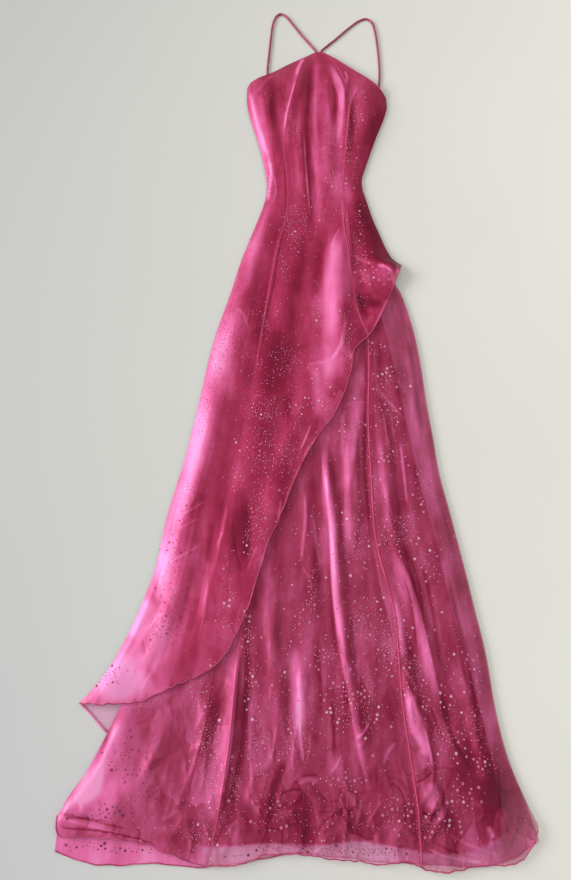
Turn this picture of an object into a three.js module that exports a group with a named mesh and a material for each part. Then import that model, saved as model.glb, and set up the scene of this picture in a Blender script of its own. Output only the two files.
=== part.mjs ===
// A floor-length halter evening gown of sheer organza over a lining, laid flat on its back.
// Millimetres. x runs to the right, y from the hem up to the straps, z up from the surface.
// The tables below count y from the lowest point of the hem, and the whole gown is centred at the end.
import * as THREE from "three";

// Driving dimensions
const WALL = 1.4; // thickness of each cloth wall, measured upwards
const GAP = 0.3; // between pieces, at seams and between layers
const LAYER = WALL + GAP; // from the underside of one layer to the underside of the next
const STRAP_DIAMETER = 4.4; // rolled tube strap
const STRAP_SIDES = 8;
const STRAP_STEPS = 30;
const SIDE_ROLL = 20; // width over which a side edge comes down to the layer under it
const FOLD_ROLL = 38; // folds start this far inside a side edge
const SKIRT_TOP = 1110; // height above the hem at which underskirt and lining start, under the overlay
const COVER_MARGIN = 8; // underskirt folds start this far outside the overlay's hem
const COVER_FADE = 40; // and reach their full height over this width
// Facets down and across each panel. Panels that share a seam have the same number down.
const FACETS = {
  back_left: { down: 20, across: 5 },
  back_right: { down: 20, across: 5 },
  back_underskirt: { down: 20, across: 10 },
  lining_front: { down: 24, across: 12 },
  underskirt_left: { down: 30, across: 9 },
  underskirt_centre: { down: 30, across: 15 },
  underskirt_right: { down: 30, across: 10 },
  front_left: { down: 36, across: 10 },
  front_centre: { down: 36, across: 16 },
  front_right: { down: 36, across: 8 },
};
const STEP_START = 38; // the back underskirt leaves the overlay's hem this far outside it
const STEP_WIDTH = 60; // and reaches the surface over this width
const END_FADE = 6; // power with which a panel's rows lose the shape of its top and bottom edges

// Undersides of the layers, from the surface up
const STACK = {
  back: 0,
  backUnderskirt: LAYER,
  lining: 2 * LAYER,
  underskirt: 3 * LAYER,
  overlay: 4 * LAYER,
};

// Colours as seen, and roughness
const FINISH = {
  organza: { color: 0xc4568a, roughness: 0.55, metalness: 0.0 },
  underlayer: { color: 0xb04a7a, roughness: 0.55, metalness: 0.0 },
  lining: { color: 0xa8386a, roughness: 0.45, metalness: 0.0 },
  strap: { color: 0xb83a70, roughness: 0.5, metalness: 0.0 },
};

// Left outline of the bodice and overlay, from the underarm corner to the tip of the overlay's hem
const LEFT_SIDE = [
  { x: -94, y: 1379 },
  { x: -94, y: 1348 },
  { x: -88, y: 1312 },
  { x: -74, y: 1260 },
  { x: -60, y: 1202 },
  { x: -52, y: 1146 },
  { x: -55, y: 1110 },
  { x: -78, y: 1038 },
  { x: -96, y: 985 },
  { x: -116, y: 910 },
  { x: -143, y: 816 },
  { x: -164, y: 703 },
  { x: -185, y: 596 },
  { x: -210, y: 495 },
  { x: -223, y: 418 },
  { x: -243, y: 356 },
  { x: -276, y: 282 },
  { x: -304, y: 240 },
  { x: -324, y: 219 },
];

// Right outline of the bodice, from the underarm corner to the tip of the corner flounce
const RIGHT_SIDE = [
  { x: 187, y: 1354 },
  { x: 187, y: 1330 },
  { x: 179, y: 1302 },
  { x: 162, y: 1256 },
  { x: 146, y: 1208 },
  { x: 137, y: 1180 },
  { x: 131, y: 1158 },
  { x: 132, y: 1135 },
  { x: 138, y: 1110 },
  { x: 149, y: 1067 },
  { x: 160, y: 1035 },
  { x: 171, y: 1002 },
  { x: 182, y: 980 },
  { x: 197, y: 968 },
];

// Princess seams, from the neckline to the overlay's hem
const LEFT_SEAM = [
  { x: 26, y: 1457 },
  { x: 12, y: 1410 },
  { x: 1, y: 1364 },
  { x: -8, y: 1314 },
  { x: -18, y: 1250 },
  { x: -18, y: 1204 },
  { x: -11, y: 1132 },
  { x: -14, y: 1080 },
  { x: -33, y: 985 },
  { x: -57, y: 836 },
  { x: -82, y: 666 },
  { x: -113, y: 519 },
  { x: -140, y: 353 },
  { x: -156, y: 254 },
];
const RIGHT_SEAM = [
  { x: 72, y: 1463 },
  { x: 93, y: 1421 },
  { x: 105, y: 1379 },
  { x: 109, y: 1323 },
  { x: 104, y: 1250 },
  { x: 96, y: 1174 },
  { x: 93, y: 1119 },
  { x: 99, y: 1020 },
  { x: 105, y: 922 },
  { x: 114, y: 868 },
  { x: 130, y: 822 },
];

// Neckline between the underarm corners and the seams, and over its point
const NECK_LEFT = [
  { x: -90, y: 1387 },
  { x: -72, y: 1398 },
  { x: -42, y: 1413 },
  { x: -9, y: 1436 },
];
const NECK_POINT = [
  { x: 38, y: 1465 },
  { x: 50, y: 1470 },
  { x: 61, y: 1469 },
];
const NECK_RIGHT = [
  { x: 86, y: 1453 },
  { x: 110, y: 1432 },
  { x: 134, y: 1411 },
  { x: 157, y: 1391 },
  { x: 175, y: 1373 },
];

// Hem of the overlay between the ends of its seams
const OVERLAY_HEM_LEFT = [
  { x: -292, y: 217 },
  { x: -258, y: 218 },
  { x: -225, y: 224 },
  { x: -190, y: 240 },
];
const OVERLAY_HEM_CENTRE = [
  { x: -130, y: 266 },
  { x: -105, y: 292 },
  { x: -85, y: 331 },
  { x: -60, y: 402 },
  { x: -44, y: 457 },
  { x: -25, y: 501 },
  { x: 4, y: 573 },
  { x: 36, y: 632 },
  { x: 73, y: 688 },
  { x: 94, y: 743 },
  { x: 106, y: 798 },
];
const OVERLAY_HEM_RIGHT = [
  { x: 141, y: 838 },
  { x: 153, y: 859 },
  { x: 163, y: 881 },
  { x: 173, y: 906 },
  { x: 184, y: 934 },
];

// Back, under everything: the centre seam and the overlay's hem at each side of it
const BACK_SEAM = [
  { x: 46, y: 1366 },
  { x: 42, y: 1240 },
  { x: 38, y: 1120 },
  { x: 36, y: 700 },
  { x: 38, y: 290 },
];
const BACK_HEM_LEFT = [
  { x: -302, y: 197 },
  { x: -280, y: 175 },
  { x: -235, y: 158 },
  { x: -150, y: 160 },
  { x: -50, y: 205 },
];
const BACK_HEM_RIGHT = [
  { x: 88, y: 400 },
  { x: 128, y: 540 },
  { x: 156, y: 740 },
  { x: 168, y: 880 },
];
const BACK_RIGHT_CORNER = { x: 172, y: 960 };

// Underskirt sides and seams, from SKIRT_TOP down
const SKIRT_LEFT = [
  { x: -28, y: SKIRT_TOP },
  { x: -66, y: 979 },
  { x: -112, y: 836 },
  { x: -134, y: 703 },
  { x: -155, y: 596 },
  { x: -180, y: 495 },
  { x: -194, y: 418 },
  { x: -211, y: 350 },
  { x: -236, y: 280 },
  { x: -262, y: 216 },
  { x: -280, y: 175 },
  { x: -305, y: 126 },
  { x: -324, y: 95 },
  { x: -341, y: 70 },
];
const SKIRT_RIGHT = [
  { x: 104, y: SKIRT_TOP },
  { x: 120, y: 1040 },
  { x: 148, y: 980 },
  { x: 184, y: 930 },
  { x: 197, y: 896 },
  { x: 211, y: 837 },
  { x: 219, y: 780 },
  { x: 225, y: 705 },
  { x: 232, y: 640 },
  { x: 239, y: 570 },
  { x: 250, y: 515 },
  { x: 261, y: 455 },
  { x: 271, y: 400 },
  { x: 280, y: 345 },
  { x: 290, y: 287 },
  { x: 296, y: 216 },
  { x: 306, y: 155 },
  { x: 320, y: 108 },
  { x: 343, y: 55 },
];
const SKIRT_SEAM_LEFT = [
  { x: -4, y: SKIRT_TOP },
  { x: -30, y: 896 },
  { x: -43, y: 703 },
  { x: -55, y: 528 },
  { x: -72, y: 399 },
  { x: -87, y: 297 },
  { x: -100, y: 148 },
  { x: -117, y: 45 },
  { x: -126, y: 8 },
];
const SKIRT_SEAM_RIGHT = [
  { x: 82, y: SKIRT_TOP },
  { x: 112, y: 916 },
  { x: 129, y: 812 },
  { x: 124, y: 666 },
  { x: 125, y: 561 },
  { x: 129, y: 461 },
  { x: 142, y: 399 },
  { x: 152, y: 353 },
  { x: 158, y: 223 },
  { x: 171, y: 90 },
  { x: 174, y: 4 },
];
const SKIRT_HEM_LEFT = [
  { x: -346, y: 58 },
  { x: -338, y: 47 },
  { x: -300, y: 43 },
  { x: -258, y: 42 },
  { x: -201, y: 30 },
  { x: -151, y: 13 },
];
const SKIRT_HEM_CENTRE = [
  { x: -92, y: 9 },
  { x: -69, y: 12 },
  { x: -45, y: 21 },
  { x: 10, y: 21 },
  { x: 67, y: 15 },
  { x: 125, y: 10 },
  { x: 151, y: 14 },
];
const SKIRT_HEM_RIGHT = [
  { x: 192, y: 0 },
  { x: 249, y: 6 },
  { x: 310, y: 12 },
  { x: 327, y: 27 },
];

// Back underskirt: a little narrower than the front one down to the knee, and its own hem
const BACK_SKIRT_SIDE_LOW_LEFT = { x: -342, y: 24 };
const BACK_SKIRT_SIDE_LOW_RIGHT = { x: 343, y: 37 };
const BACK_SKIRT_HEM = [
  { x: -318, y: 15 },
  { x: -283, y: 8 },
  { x: -262, y: 5 },
  { x: -236, y: 9 },
  { x: -196, y: 9 },
  { x: -158, y: 5 },
  { x: -130, y: 5 },
  { x: -70, y: 12 },
  { x: -30, y: 19 },
  { x: 10, y: 22 },
  { x: 90, y: 13 },
  { x: 200, y: 7 },
  { x: 280, y: 7 },
  { x: 318, y: 14 },
];

// Lining, narrower than the underskirt
const LINING_LEFT = [
  { x: 6, y: SKIRT_TOP - 6 },
  { x: -36, y: 979 },
  { x: -80, y: 836 },
  { x: -104, y: 703 },
  { x: -125, y: 596 },
  { x: -150, y: 495 },
  { x: -164, y: 418 },
  { x: -182, y: 345 },
  { x: -208, y: 270 },
  { x: -232, y: 210 },
  { x: -255, y: 150 },
  { x: -278, y: 100 },
  { x: -292, y: 62 },
];
const LINING_RIGHT = [
  { x: 78, y: SKIRT_TOP - 6 },
  { x: 92, y: 1040 },
  { x: 116, y: 970 },
  { x: 152, y: 880 },
  { x: 174, y: 760 },
  { x: 190, y: 660 },
  { x: 205, y: 560 },
  { x: 220, y: 490 },
  { x: 234, y: 410 },
  { x: 246, y: 335 },
  { x: 262, y: 280 },
  { x: 270, y: 225 },
  { x: 281, y: 168 },
  { x: 291, y: 95 },
  { x: 300, y: 50 },
];
const LINING_HEM = [
  { x: -221, y: 52 },
  { x: -164, y: 38 },
  { x: -115, y: 28 },
  { x: -49, y: 38 },
  { x: 0, y: 29 },
  { x: 32, y: 37 },
  { x: 117, y: 35 },
  { x: 186, y: 22 },
  { x: 250, y: 24 },
];

// Straps lie on the surface from under the neckline's point, round the loop and onto the back's top edge
const CLEARANCE = 0.1; // under the strap's lowest corners
const STRAP_REST = STRAP_DIAMETER / 2 + CLEARANCE; // height of the axis on the surface
const STRAP_ON_BACK = LAYER + STRAP_DIAMETER / 2 + CLEARANCE; // and where it laps over the back
const STRAP_LEFT = [
  { x: 49, y: 1460, z: STRAP_REST },
  { x: 48, y: 1478, z: STRAP_REST },
  { x: 37, y: 1496, z: STRAP_REST },
  { x: 21, y: 1519, z: STRAP_REST },
  { x: 0, y: 1553, z: STRAP_REST },
  { x: -16, y: 1577, z: STRAP_REST },
  { x: -27, y: 1583, z: STRAP_REST },
  { x: -36, y: 1575, z: STRAP_REST },
  { x: -43, y: 1553, z: STRAP_REST },
  { x: -46, y: 1525, z: STRAP_REST },
  { x: -50, y: 1475, z: STRAP_REST },
  { x: -53, y: 1435, z: STRAP_REST },
  { x: -53, y: 1405, z: STRAP_REST },
  { x: -52, y: 1392, z: STRAP_REST + 0.5 },
  { x: -51, y: 1383, z: STRAP_ON_BACK },
  { x: -50, y: 1364, z: STRAP_ON_BACK },
];
const STRAP_RIGHT = [
  { x: 57, y: 1460, z: STRAP_REST },
  { x: 58, y: 1480, z: STRAP_REST },
  { x: 70, y: 1494, z: STRAP_REST },
  { x: 87, y: 1511, z: STRAP_REST },
  { x: 118, y: 1544, z: STRAP_REST },
  { x: 139, y: 1563, z: STRAP_REST },
  { x: 154, y: 1569, z: STRAP_REST },
  { x: 166, y: 1560, z: STRAP_REST },
  { x: 172, y: 1535, z: STRAP_REST },
  { x: 175, y: 1500, z: STRAP_REST },
  { x: 177, y: 1450, z: STRAP_REST },
  { x: 176, y: 1405, z: STRAP_REST },
  { x: 173, y: 1376, z: STRAP_REST + 0.5 },
  { x: 171, y: 1366, z: STRAP_ON_BACK },
  { x: 170, y: 1346, z: STRAP_ON_BACK },
];

// Loft of the bodice and overlay over the layers below, by height above the hem
const OVERLAY_LOFT = [
  { y: 1473, loft: 0 },
  { y: 1400, loft: 5 },
  { y: 1320, loft: 10 },
  { y: 1230, loft: 8 },
  { y: 1146, loft: 5 },
  { y: 1000, loft: 6 },
  { y: 800, loft: 4 },
  { y: 500, loft: 3 },
  { y: 250, loft: 1 },
];

// Folds of the overlay: start, middle and end, height (negative for a trough) and half width
const OVERLAY_FOLDS = [
  { x1: 24, y1: 1447, x2: -3, y2: 1325, x3: -16, y3: 1200, high: 5, wide: 18 },
  { x1: 44, y1: 1455, x2: 31, y2: 1240, x3: 41, y3: 1020, high: -8, wide: 14 },
  { x1: 20, y1: 1400, x2: 12, y2: 1230, x3: 16, y3: 1100, high: 4, wide: 16 },
  { x1: 70, y1: 1440, x2: 70, y2: 1250, x3: 62, y3: 1110, high: 4, wide: 20 },
  { x1: 88, y1: 1425, x2: 106, y2: 1310, x3: 97, y3: 1180, high: 5, wide: 16 },
  { x1: 140, y1: 1384, x2: 140, y2: 1300, x3: 124, y3: 1210, high: 4, wide: 26 },
  { x1: -60, y1: 1384, x2: -54, y2: 1290, x3: -36, y3: 1170, high: 5, wide: 26 },
  { x1: 96, y1: 1050, x2: 80, y2: 920, x3: 80, y3: 750, high: 9, wide: 30 },
  { x1: 122, y1: 960, x2: 124, y2: 900, x3: 132, y3: 845, high: -4, wide: 14 },
  { x1: -50, y1: 1090, x2: -92, y2: 890, x3: -120, y3: 720, high: 5, wide: 26 },
  { x1: 6, y1: 1000, x2: -34, y2: 760, x3: -70, y3: 540, high: 4, wide: 30 },
  { x1: -40, y1: 900, x2: -84, y2: 700, x3: -128, y3: 480, high: -3, wide: 22 },
  { x1: -118, y1: 760, x2: -160, y2: 560, x3: -200, y3: 350, high: 7, wide: 30 },
  { x1: 40, y1: 770, x2: -16, y2: 610, x3: -64, y3: 440, high: 4, wide: 24 },
  { x1: -84, y1: 560, x2: -114, y2: 430, x3: -142, y3: 300, high: 5, wide: 20 },
  { x1: -150, y1: 470, x2: -190, y2: 360, x3: -240, y3: 250, high: 5, wide: 22 },
  { x1: 132, y1: 990, x2: 158, y2: 962, x3: 190, y3: 952, high: 7, wide: 24 },
];

// Folds of the underskirt, where the overlay leaves it in view
const SKIRT_FOLDS = [
  { x1: 48, y1: 650, x2: 60, y2: 490, x3: 68, y3: 350, high: 7, wide: 18 },
  { x1: 66, y1: 380, x2: 80, y2: 250, x3: 104, y3: 120, high: 8, wide: 20 },
  { x1: 90, y1: 680, x2: 96, y2: 570, x3: 92, y3: 430, high: 6, wide: 20 },
  { x1: 146, y1: 720, x2: 150, y2: 580, x3: 160, y3: 440, high: 6, wide: 18 },
  { x1: 200, y1: 860, x2: 204, y2: 720, x3: 212, y3: 590, high: 4, wide: 18 },
  { x1: 160, y1: 470, x2: 186, y2: 350, x3: 222, y3: 220, high: 7, wide: 20 },
  { x1: 160, y1: 350, x2: 164, y2: 260, x3: 200, y3: 130, high: 6, wide: 16 },
  { x1: 232, y1: 560, x2: 248, y2: 420, x3: 264, y3: 320, high: 4, wide: 18 },
  { x1: 244, y1: 290, x2: 262, y2: 180, x3: 286, y3: 80, high: 5, wide: 20 },
  { x1: 180, y1: 130, x2: 206, y2: 96, x3: 190, y3: 54, high: 6, wide: 18 },
  { x1: -82, y1: 335, x2: -98, y2: 180, x3: -114, y3: 45, high: 8, wide: 16 },
  { x1: -120, y1: 255, x2: -142, y2: 155, x3: -176, y3: 72, high: 6, wide: 16 },
  { x1: -44, y1: 460, x2: -36, y2: 300, x3: -20, y3: 150, high: 6, wide: 22 },
  { x1: 12, y1: 560, x2: 24, y2: 400, x3: 10, y3: 190, high: 5, wide: 20 },
  { x1: 112, y1: 340, x2: 116, y2: 220, x3: 120, y3: 90, high: 5, wide: 16 },
  { x1: -180, y1: 205, x2: -222, y2: 120, x3: -280, y3: 66, high: 5, wide: 22 },
];

// Crumples of the lining above its hem. The underskirt goes over them on a wider, higher form.
const LINING_FOLDS = [
  { x1: -80, y1: 96, x2: -20, y2: 90, x3: 40, y3: 102, high: 3.5, wide: 22 },
  { x1: 20, y1: 56, x2: 57, y2: 68, x3: 92, y3: 54, high: 3, wide: 20 },
  { x1: 110, y1: 100, x2: 160, y2: 76, x3: 205, y3: 96, high: 3.5, wide: 22 },
];
const OVER_CRUMPLE = { extraHigh: 4.5, wider: 2.5 };

// Waves along the organza hems
const OVERLAY_WAVES = { high: 4, length: 92, reach: 70 };
const SKIRT_WAVES = { high: 4, length: 78, reach: 60 };

const clamp01 = (t) => Math.min(1, Math.max(0, t));
const smooth = (t) => {
  const s = clamp01(t);
  return s * s * (3 - 2 * s);
};
const rounded = (t) => Math.sin((Math.PI / 2) * clamp01(t));

// A smooth curve through table rows, moved sideways by shift, with z where a row has it
function curve(rows, shift = 0) {
  const points = rows.map((row) => new THREE.Vector3(row.x + shift, row.y, row.z ?? 0));
  return new THREE.CatmullRomCurve3(points, false, "centripetal");
}

// A table of { x, y } rows read as x at a height y, or any other column that is named
function tableAt(rows, y, column) {
  let upper = rows[0];
  if (y >= upper.y) return upper[column];
  for (const lower of rows) {
    if (y >= lower.y && lower.y < upper.y) {
      const t = (upper.y - y) / (upper.y - lower.y);
      return upper[column] + (lower[column] - upper[column]) * t;
    }
    upper = lower;
  }
  return upper[column];
}

// Distance from a point to a path of points, how far along it the nearest point is, and its side
function nearestOn(path, x, y) {
  let best = { distance: Infinity, along: 0, side: 1 };
  let walked = 0;
  for (let i = 1; i < path.length; i += 1) {
    const a = path[i - 1];
    const b = path[i];
    const dx = b.x - a.x;
    const dy = b.y - a.y;
    const length = Math.hypot(dx, dy);
    const t = clamp01(((x - a.x) * dx + (y - a.y) * dy) / (length * length));
    const distance = Math.hypot(x - a.x - dx * t, y - a.y - dy * t);
    if (distance < best.distance) {
      const side = Math.sign(dx * (y - a.y) - dy * (x - a.x)) || 1;
      best = { distance, along: walked + length * t, side };
    }
    walked += length;
  }
  return { ...best, length: walked };
}

// Height that one fold adds at a point: a rounded ridge or trough that fades at both ends
function foldHeight(fold, x, y, extraHigh = 0, wider = 1) {
  const path = [
    { x: fold.x1, y: fold.y1 },
    { x: fold.x2, y: fold.y2 },
    { x: fold.x3, y: fold.y3 },
  ];
  const { distance, along, length } = nearestOn(path, x, y);
  const wide = fold.wide * wider;
  if (distance >= wide) return 0;
  const across = Math.cos((Math.PI / 2) * (distance / wide)) ** 2;
  const lengthwise = smooth(Math.min(along, length - along) / (length * 0.3) + 0.15);
  return (fold.high + extraHigh) * across * lengthwise;
}

function foldsAt(folds, x, y, extraHigh, wider) {
  return folds.reduce((sum, fold) => sum + foldHeight(fold, x, y, extraHigh, wider), 0);
}

// Distance inside the nearer of two side edges
function insideSides(leftRows, rightRows, x, y) {
  return Math.min(x - tableAt(leftRows, y, "x"), tableAt(rightRows, y, "x") - x);
}

const overlayHem = [
  LEFT_SIDE.at(-1),
  ...OVERLAY_HEM_LEFT,
  LEFT_SEAM.at(-1),
  ...OVERLAY_HEM_CENTRE,
  RIGHT_SEAM.at(-1),
  ...OVERLAY_HEM_RIGHT,
  RIGHT_SIDE.at(-1),
];
const backHem = [LEFT_SIDE.at(-1), ...BACK_HEM_LEFT, BACK_SEAM.at(-1), ...BACK_HEM_RIGHT, BACK_RIGHT_CORNER];
const skirtHem = [
  SKIRT_LEFT.at(-1),
  ...SKIRT_HEM_LEFT,
  SKIRT_SEAM_LEFT.at(-1),
  ...SKIRT_HEM_CENTRE,
  SKIRT_SEAM_RIGHT.at(-1),
  ...SKIRT_HEM_RIGHT,
  SKIRT_RIGHT.at(-1),
];

// Waves near a hem, fading upwards
function wavesAt(waves, hem, x, y) {
  const { distance, along } = nearestOn(hem, x, y);
  const rise = 0.5 - 0.5 * Math.cos((2 * Math.PI * along) / waves.length);
  return waves.high * rise * smooth(1 - distance / waves.reach);
}

// The overlay's right edge as a side for its roll: the bodice side, then far out past its hem
const FAR_RIGHT = 320;
const RIGHT_SIDE_AND_BEYOND = [...RIGHT_SIDE, { x: FAR_RIGHT, y: 940 }, { x: FAR_RIGHT, y: 0 }];

// Underside of the bodice and overlay front
function overlayUnderside(x, y) {
  const inside = insideSides(LEFT_SIDE, RIGHT_SIDE_AND_BEYOND, x, y);
  const edge = LAYER + (STACK.overlay - LAYER) * rounded(inside / SIDE_ROLL);
  const shape = tableAt(OVERLAY_LOFT, y, "loft") + foldsAt(OVERLAY_FOLDS, x, y);
  const waves = wavesAt(OVERLAY_WAVES, overlayHem, x, y);
  return edge + Math.max(0, shape * rounded(inside / FOLD_ROLL) + waves);
}

// Underside of the underskirt front, flat under the overlay and folded where it shows
function skirtUnderside(x, y) {
  const inside = insideSides(SKIRT_LEFT, SKIRT_RIGHT, x, y);
  const edge = STACK.lining + LAYER * rounded(inside / SIDE_ROLL);
  const hem = nearestOn(overlayHem, x, y);
  const shows = smooth((-hem.side * hem.distance - COVER_MARGIN) / COVER_FADE);
  const crumple = foldsAt(LINING_FOLDS, x, y, OVER_CRUMPLE.extraHigh, OVER_CRUMPLE.wider);
  const shape = foldsAt(SKIRT_FOLDS, x, y) * rounded(inside / FOLD_ROLL) + crumple;
  return edge + shows * (Math.max(0, shape) + wavesAt(SKIRT_WAVES, skirtHem, x, y));
}

function liningUnderside(x, y) {
  return STACK.lining + foldsAt(LINING_FOLDS, x, y);
}

// Underside of the back underskirt: on the overlay's back, and down to the surface past its hem
function backSkirtUnderside(x, y) {
  const hem = nearestOn(backHem, x, y);
  const past = smooth((-hem.side * hem.distance - STEP_START) / STEP_WIDTH);
  return STACK.backUnderskirt * (1 - past);
}

// A cloth wall between four edge curves, with the same facets above and below.
// The left and right curves run downwards, and the top and bottom rows lie between their ends.
// Rows of facets run straight across, and take up the shape of the top and bottom edges near them.
function panel(name, finish, { left, right, top = [], bottom = [] }, underside) {
  const { down: rows, across: columns } = FACETS[name];
  const topEdge = curve([left.getPoint(0), ...top, right.getPoint(0)]);
  const bottomEdge = curve([left.getPoint(1), ...bottom, right.getPoint(1)]);
  const corners = {
    topLeft: left.getPoint(0),
    topRight: right.getPoint(0),
    lowLeft: left.getPoint(1),
    lowRight: right.getPoint(1),
  };
  const across = columns + 1;
  const layerSize = across * (rows + 1);
  const positions = new Float32Array(layerSize * 2 * 3);
  for (let j = 0; j <= rows; j += 1) {
    const v = j / rows;
    const atLeft = left.getPointAt(v);
    const atRight = right.getPointAt(v);
    for (let i = 0; i <= columns; i += 1) {
      const u = i / columns;
      const atTop = topEdge.getPointAt(u);
      const atBottom = bottomEdge.getPointAt(u);
      const straight = (start, end, axis) => (1 - u) * start[axis] + u * end[axis];
      const place = (axis) =>
        straight(atLeft, atRight, axis) +
        (1 - v) ** END_FADE * (atTop[axis] - straight(corners.topLeft, corners.topRight, axis)) +
        v ** END_FADE * (atBottom[axis] - straight(corners.lowLeft, corners.lowRight, axis));
      const x = place("x");
      const y = place("y");
      const z = underside(x, y);
      const index = j * across + i;
      positions.set([x, y, z + WALL], index * 3);
      positions.set([x, y, z], (layerSize + index) * 3);
    }
  }
  const faces = [];
  const quad = (a, b, c, d) => faces.push(a, b, c, a, c, d);
  for (let j = 0; j < rows; j += 1) {
    for (let i = 0; i < columns; i += 1) {
      const a = j * across + i;
      const b = a + across;
      quad(a, b, b + 1, a + 1);
      quad(layerSize + a, layerSize + a + 1, layerSize + b + 1, layerSize + b);
    }
  }
  const wallAlong = (a, b) => quad(a, layerSize + a, layerSize + b, b);
  for (let i = 0; i < columns; i += 1) {
    wallAlong(rows * across + i, rows * across + i + 1);
    wallAlong(i + 1, i);
  }
  for (let j = 0; j < rows; j += 1) {
    wallAlong(j * across, (j + 1) * across);
    wallAlong((j + 1) * across + columns, j * across + columns);
  }
  const geometry = new THREE.BufferGeometry();
  geometry.setAttribute("position", new THREE.BufferAttribute(positions, 3));
  geometry.setIndex(faces);
  geometry.computeVertexNormals();
  return named(name, geometry, finish);
}

function named(name, geometry, finish) {
  const mesh = new THREE.Mesh(geometry, new THREE.MeshStandardMaterial(finish));
  mesh.name = name;
  return mesh;
}

// A round tube along a path of rows
function strap(name, rows) {
  const section = new THREE.Shape();
  for (let k = 0; k < STRAP_SIDES; k += 1) {
    const angle = (2 * Math.PI * k) / STRAP_SIDES;
    const x = (STRAP_DIAMETER / 2) * Math.cos(angle);
    const y = (STRAP_DIAMETER / 2) * Math.sin(angle);
    if (k === 0) section.moveTo(x, y);
    else section.lineTo(x, y);
  }
  section.closePath();
  const settings = { steps: STRAP_STEPS, bevelEnabled: false, extrudePath: curve(rows) };
  return named(name, new THREE.ExtrudeGeometry(section, settings), FINISH.strap);
}

const HALF_GAP = GAP / 2;

// The back, which lies on the surface
const backLeft = panel(
  "back_left",
  FINISH.underlayer,
  { left: curve(LEFT_SIDE), right: curve(BACK_SEAM, -HALF_GAP), bottom: BACK_HEM_LEFT },
  () => STACK.back,
);
const backRight = panel(
  "back_right",
  FINISH.underlayer,
  {
    left: curve(BACK_SEAM, HALF_GAP),
    right: curve([...RIGHT_SIDE.slice(0, -2), BACK_RIGHT_CORNER]),
    bottom: BACK_HEM_RIGHT,
  },
  () => STACK.back,
);
const backUnderskirt = panel(
  "back_underskirt",
  FINISH.underlayer,
  {
    left: curve([...SKIRT_LEFT, BACK_SKIRT_SIDE_LOW_LEFT]),
    right: curve([...SKIRT_RIGHT, BACK_SKIRT_SIDE_LOW_RIGHT]),
    bottom: BACK_SKIRT_HEM,
  },
  backSkirtUnderside,
);

const liningFront = panel(
  "lining_front",
  FINISH.lining,
  { left: curve(LINING_LEFT), right: curve(LINING_RIGHT), bottom: LINING_HEM },
  liningUnderside,
);

const underskirtLeft = panel(
  "underskirt_left",
  FINISH.underlayer,
  { left: curve(SKIRT_LEFT), right: curve(SKIRT_SEAM_LEFT, -HALF_GAP), bottom: SKIRT_HEM_LEFT },
  skirtUnderside,
);
const underskirtCentre = panel(
  "underskirt_centre",
  FINISH.underlayer,
  {
    left: curve(SKIRT_SEAM_LEFT, HALF_GAP),
    right: curve(SKIRT_SEAM_RIGHT, -HALF_GAP),
    bottom: SKIRT_HEM_CENTRE,
  },
  skirtUnderside,
);
const underskirtRight = panel(
  "underskirt_right",
  FINISH.underlayer,
  { left: curve(SKIRT_SEAM_RIGHT, HALF_GAP), right: curve(SKIRT_RIGHT), bottom: SKIRT_HEM_RIGHT },
  skirtUnderside,
);

const frontLeft = panel(
  "front_left",
  FINISH.organza,
  {
    left: curve(LEFT_SIDE),
    right: curve(LEFT_SEAM, -HALF_GAP),
    top: NECK_LEFT,
    bottom: OVERLAY_HEM_LEFT,
  },
  overlayUnderside,
);
const frontCentre = panel(
  "front_centre",
  FINISH.organza,
  {
    left: curve(LEFT_SEAM, HALF_GAP),
    right: curve(RIGHT_SEAM, -HALF_GAP),
    top: NECK_POINT,
    bottom: OVERLAY_HEM_CENTRE,
  },
  overlayUnderside,
);
const frontRight = panel(
  "front_right",
  FINISH.organza,
  {
    left: curve(RIGHT_SEAM, HALF_GAP),
    right: curve(RIGHT_SIDE),
    top: NECK_RIGHT,
    bottom: OVERLAY_HEM_RIGHT,
  },
  overlayUnderside,
);

const group = new THREE.Group();
group.add(
  backLeft,
  backRight,
  backUnderskirt,
  liningFront,
  underskirtLeft,
  underskirtCentre,
  underskirtRight,
  frontLeft,
  frontCentre,
  frontRight,
  strap("strap_left", STRAP_LEFT),
  strap("strap_right", STRAP_RIGHT),
);

// The origin is the middle of the gown's box, on the surface it lies on
const box = new THREE.Box3().setFromObject(group);
const middle = box.getCenter(new THREE.Vector3());
group.position.set(-middle.x, -middle.y, -box.min.z);

export default group;
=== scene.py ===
"""An evening gown laid flat on a pale surface: organza, lining, hems, seams and foil motifs on the solids."""

import math
import random
from collections import namedtuple

import bmesh
import bpy
import numpy as np
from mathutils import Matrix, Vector, noise
from mathutils.bvhtree import BVHTree


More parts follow.
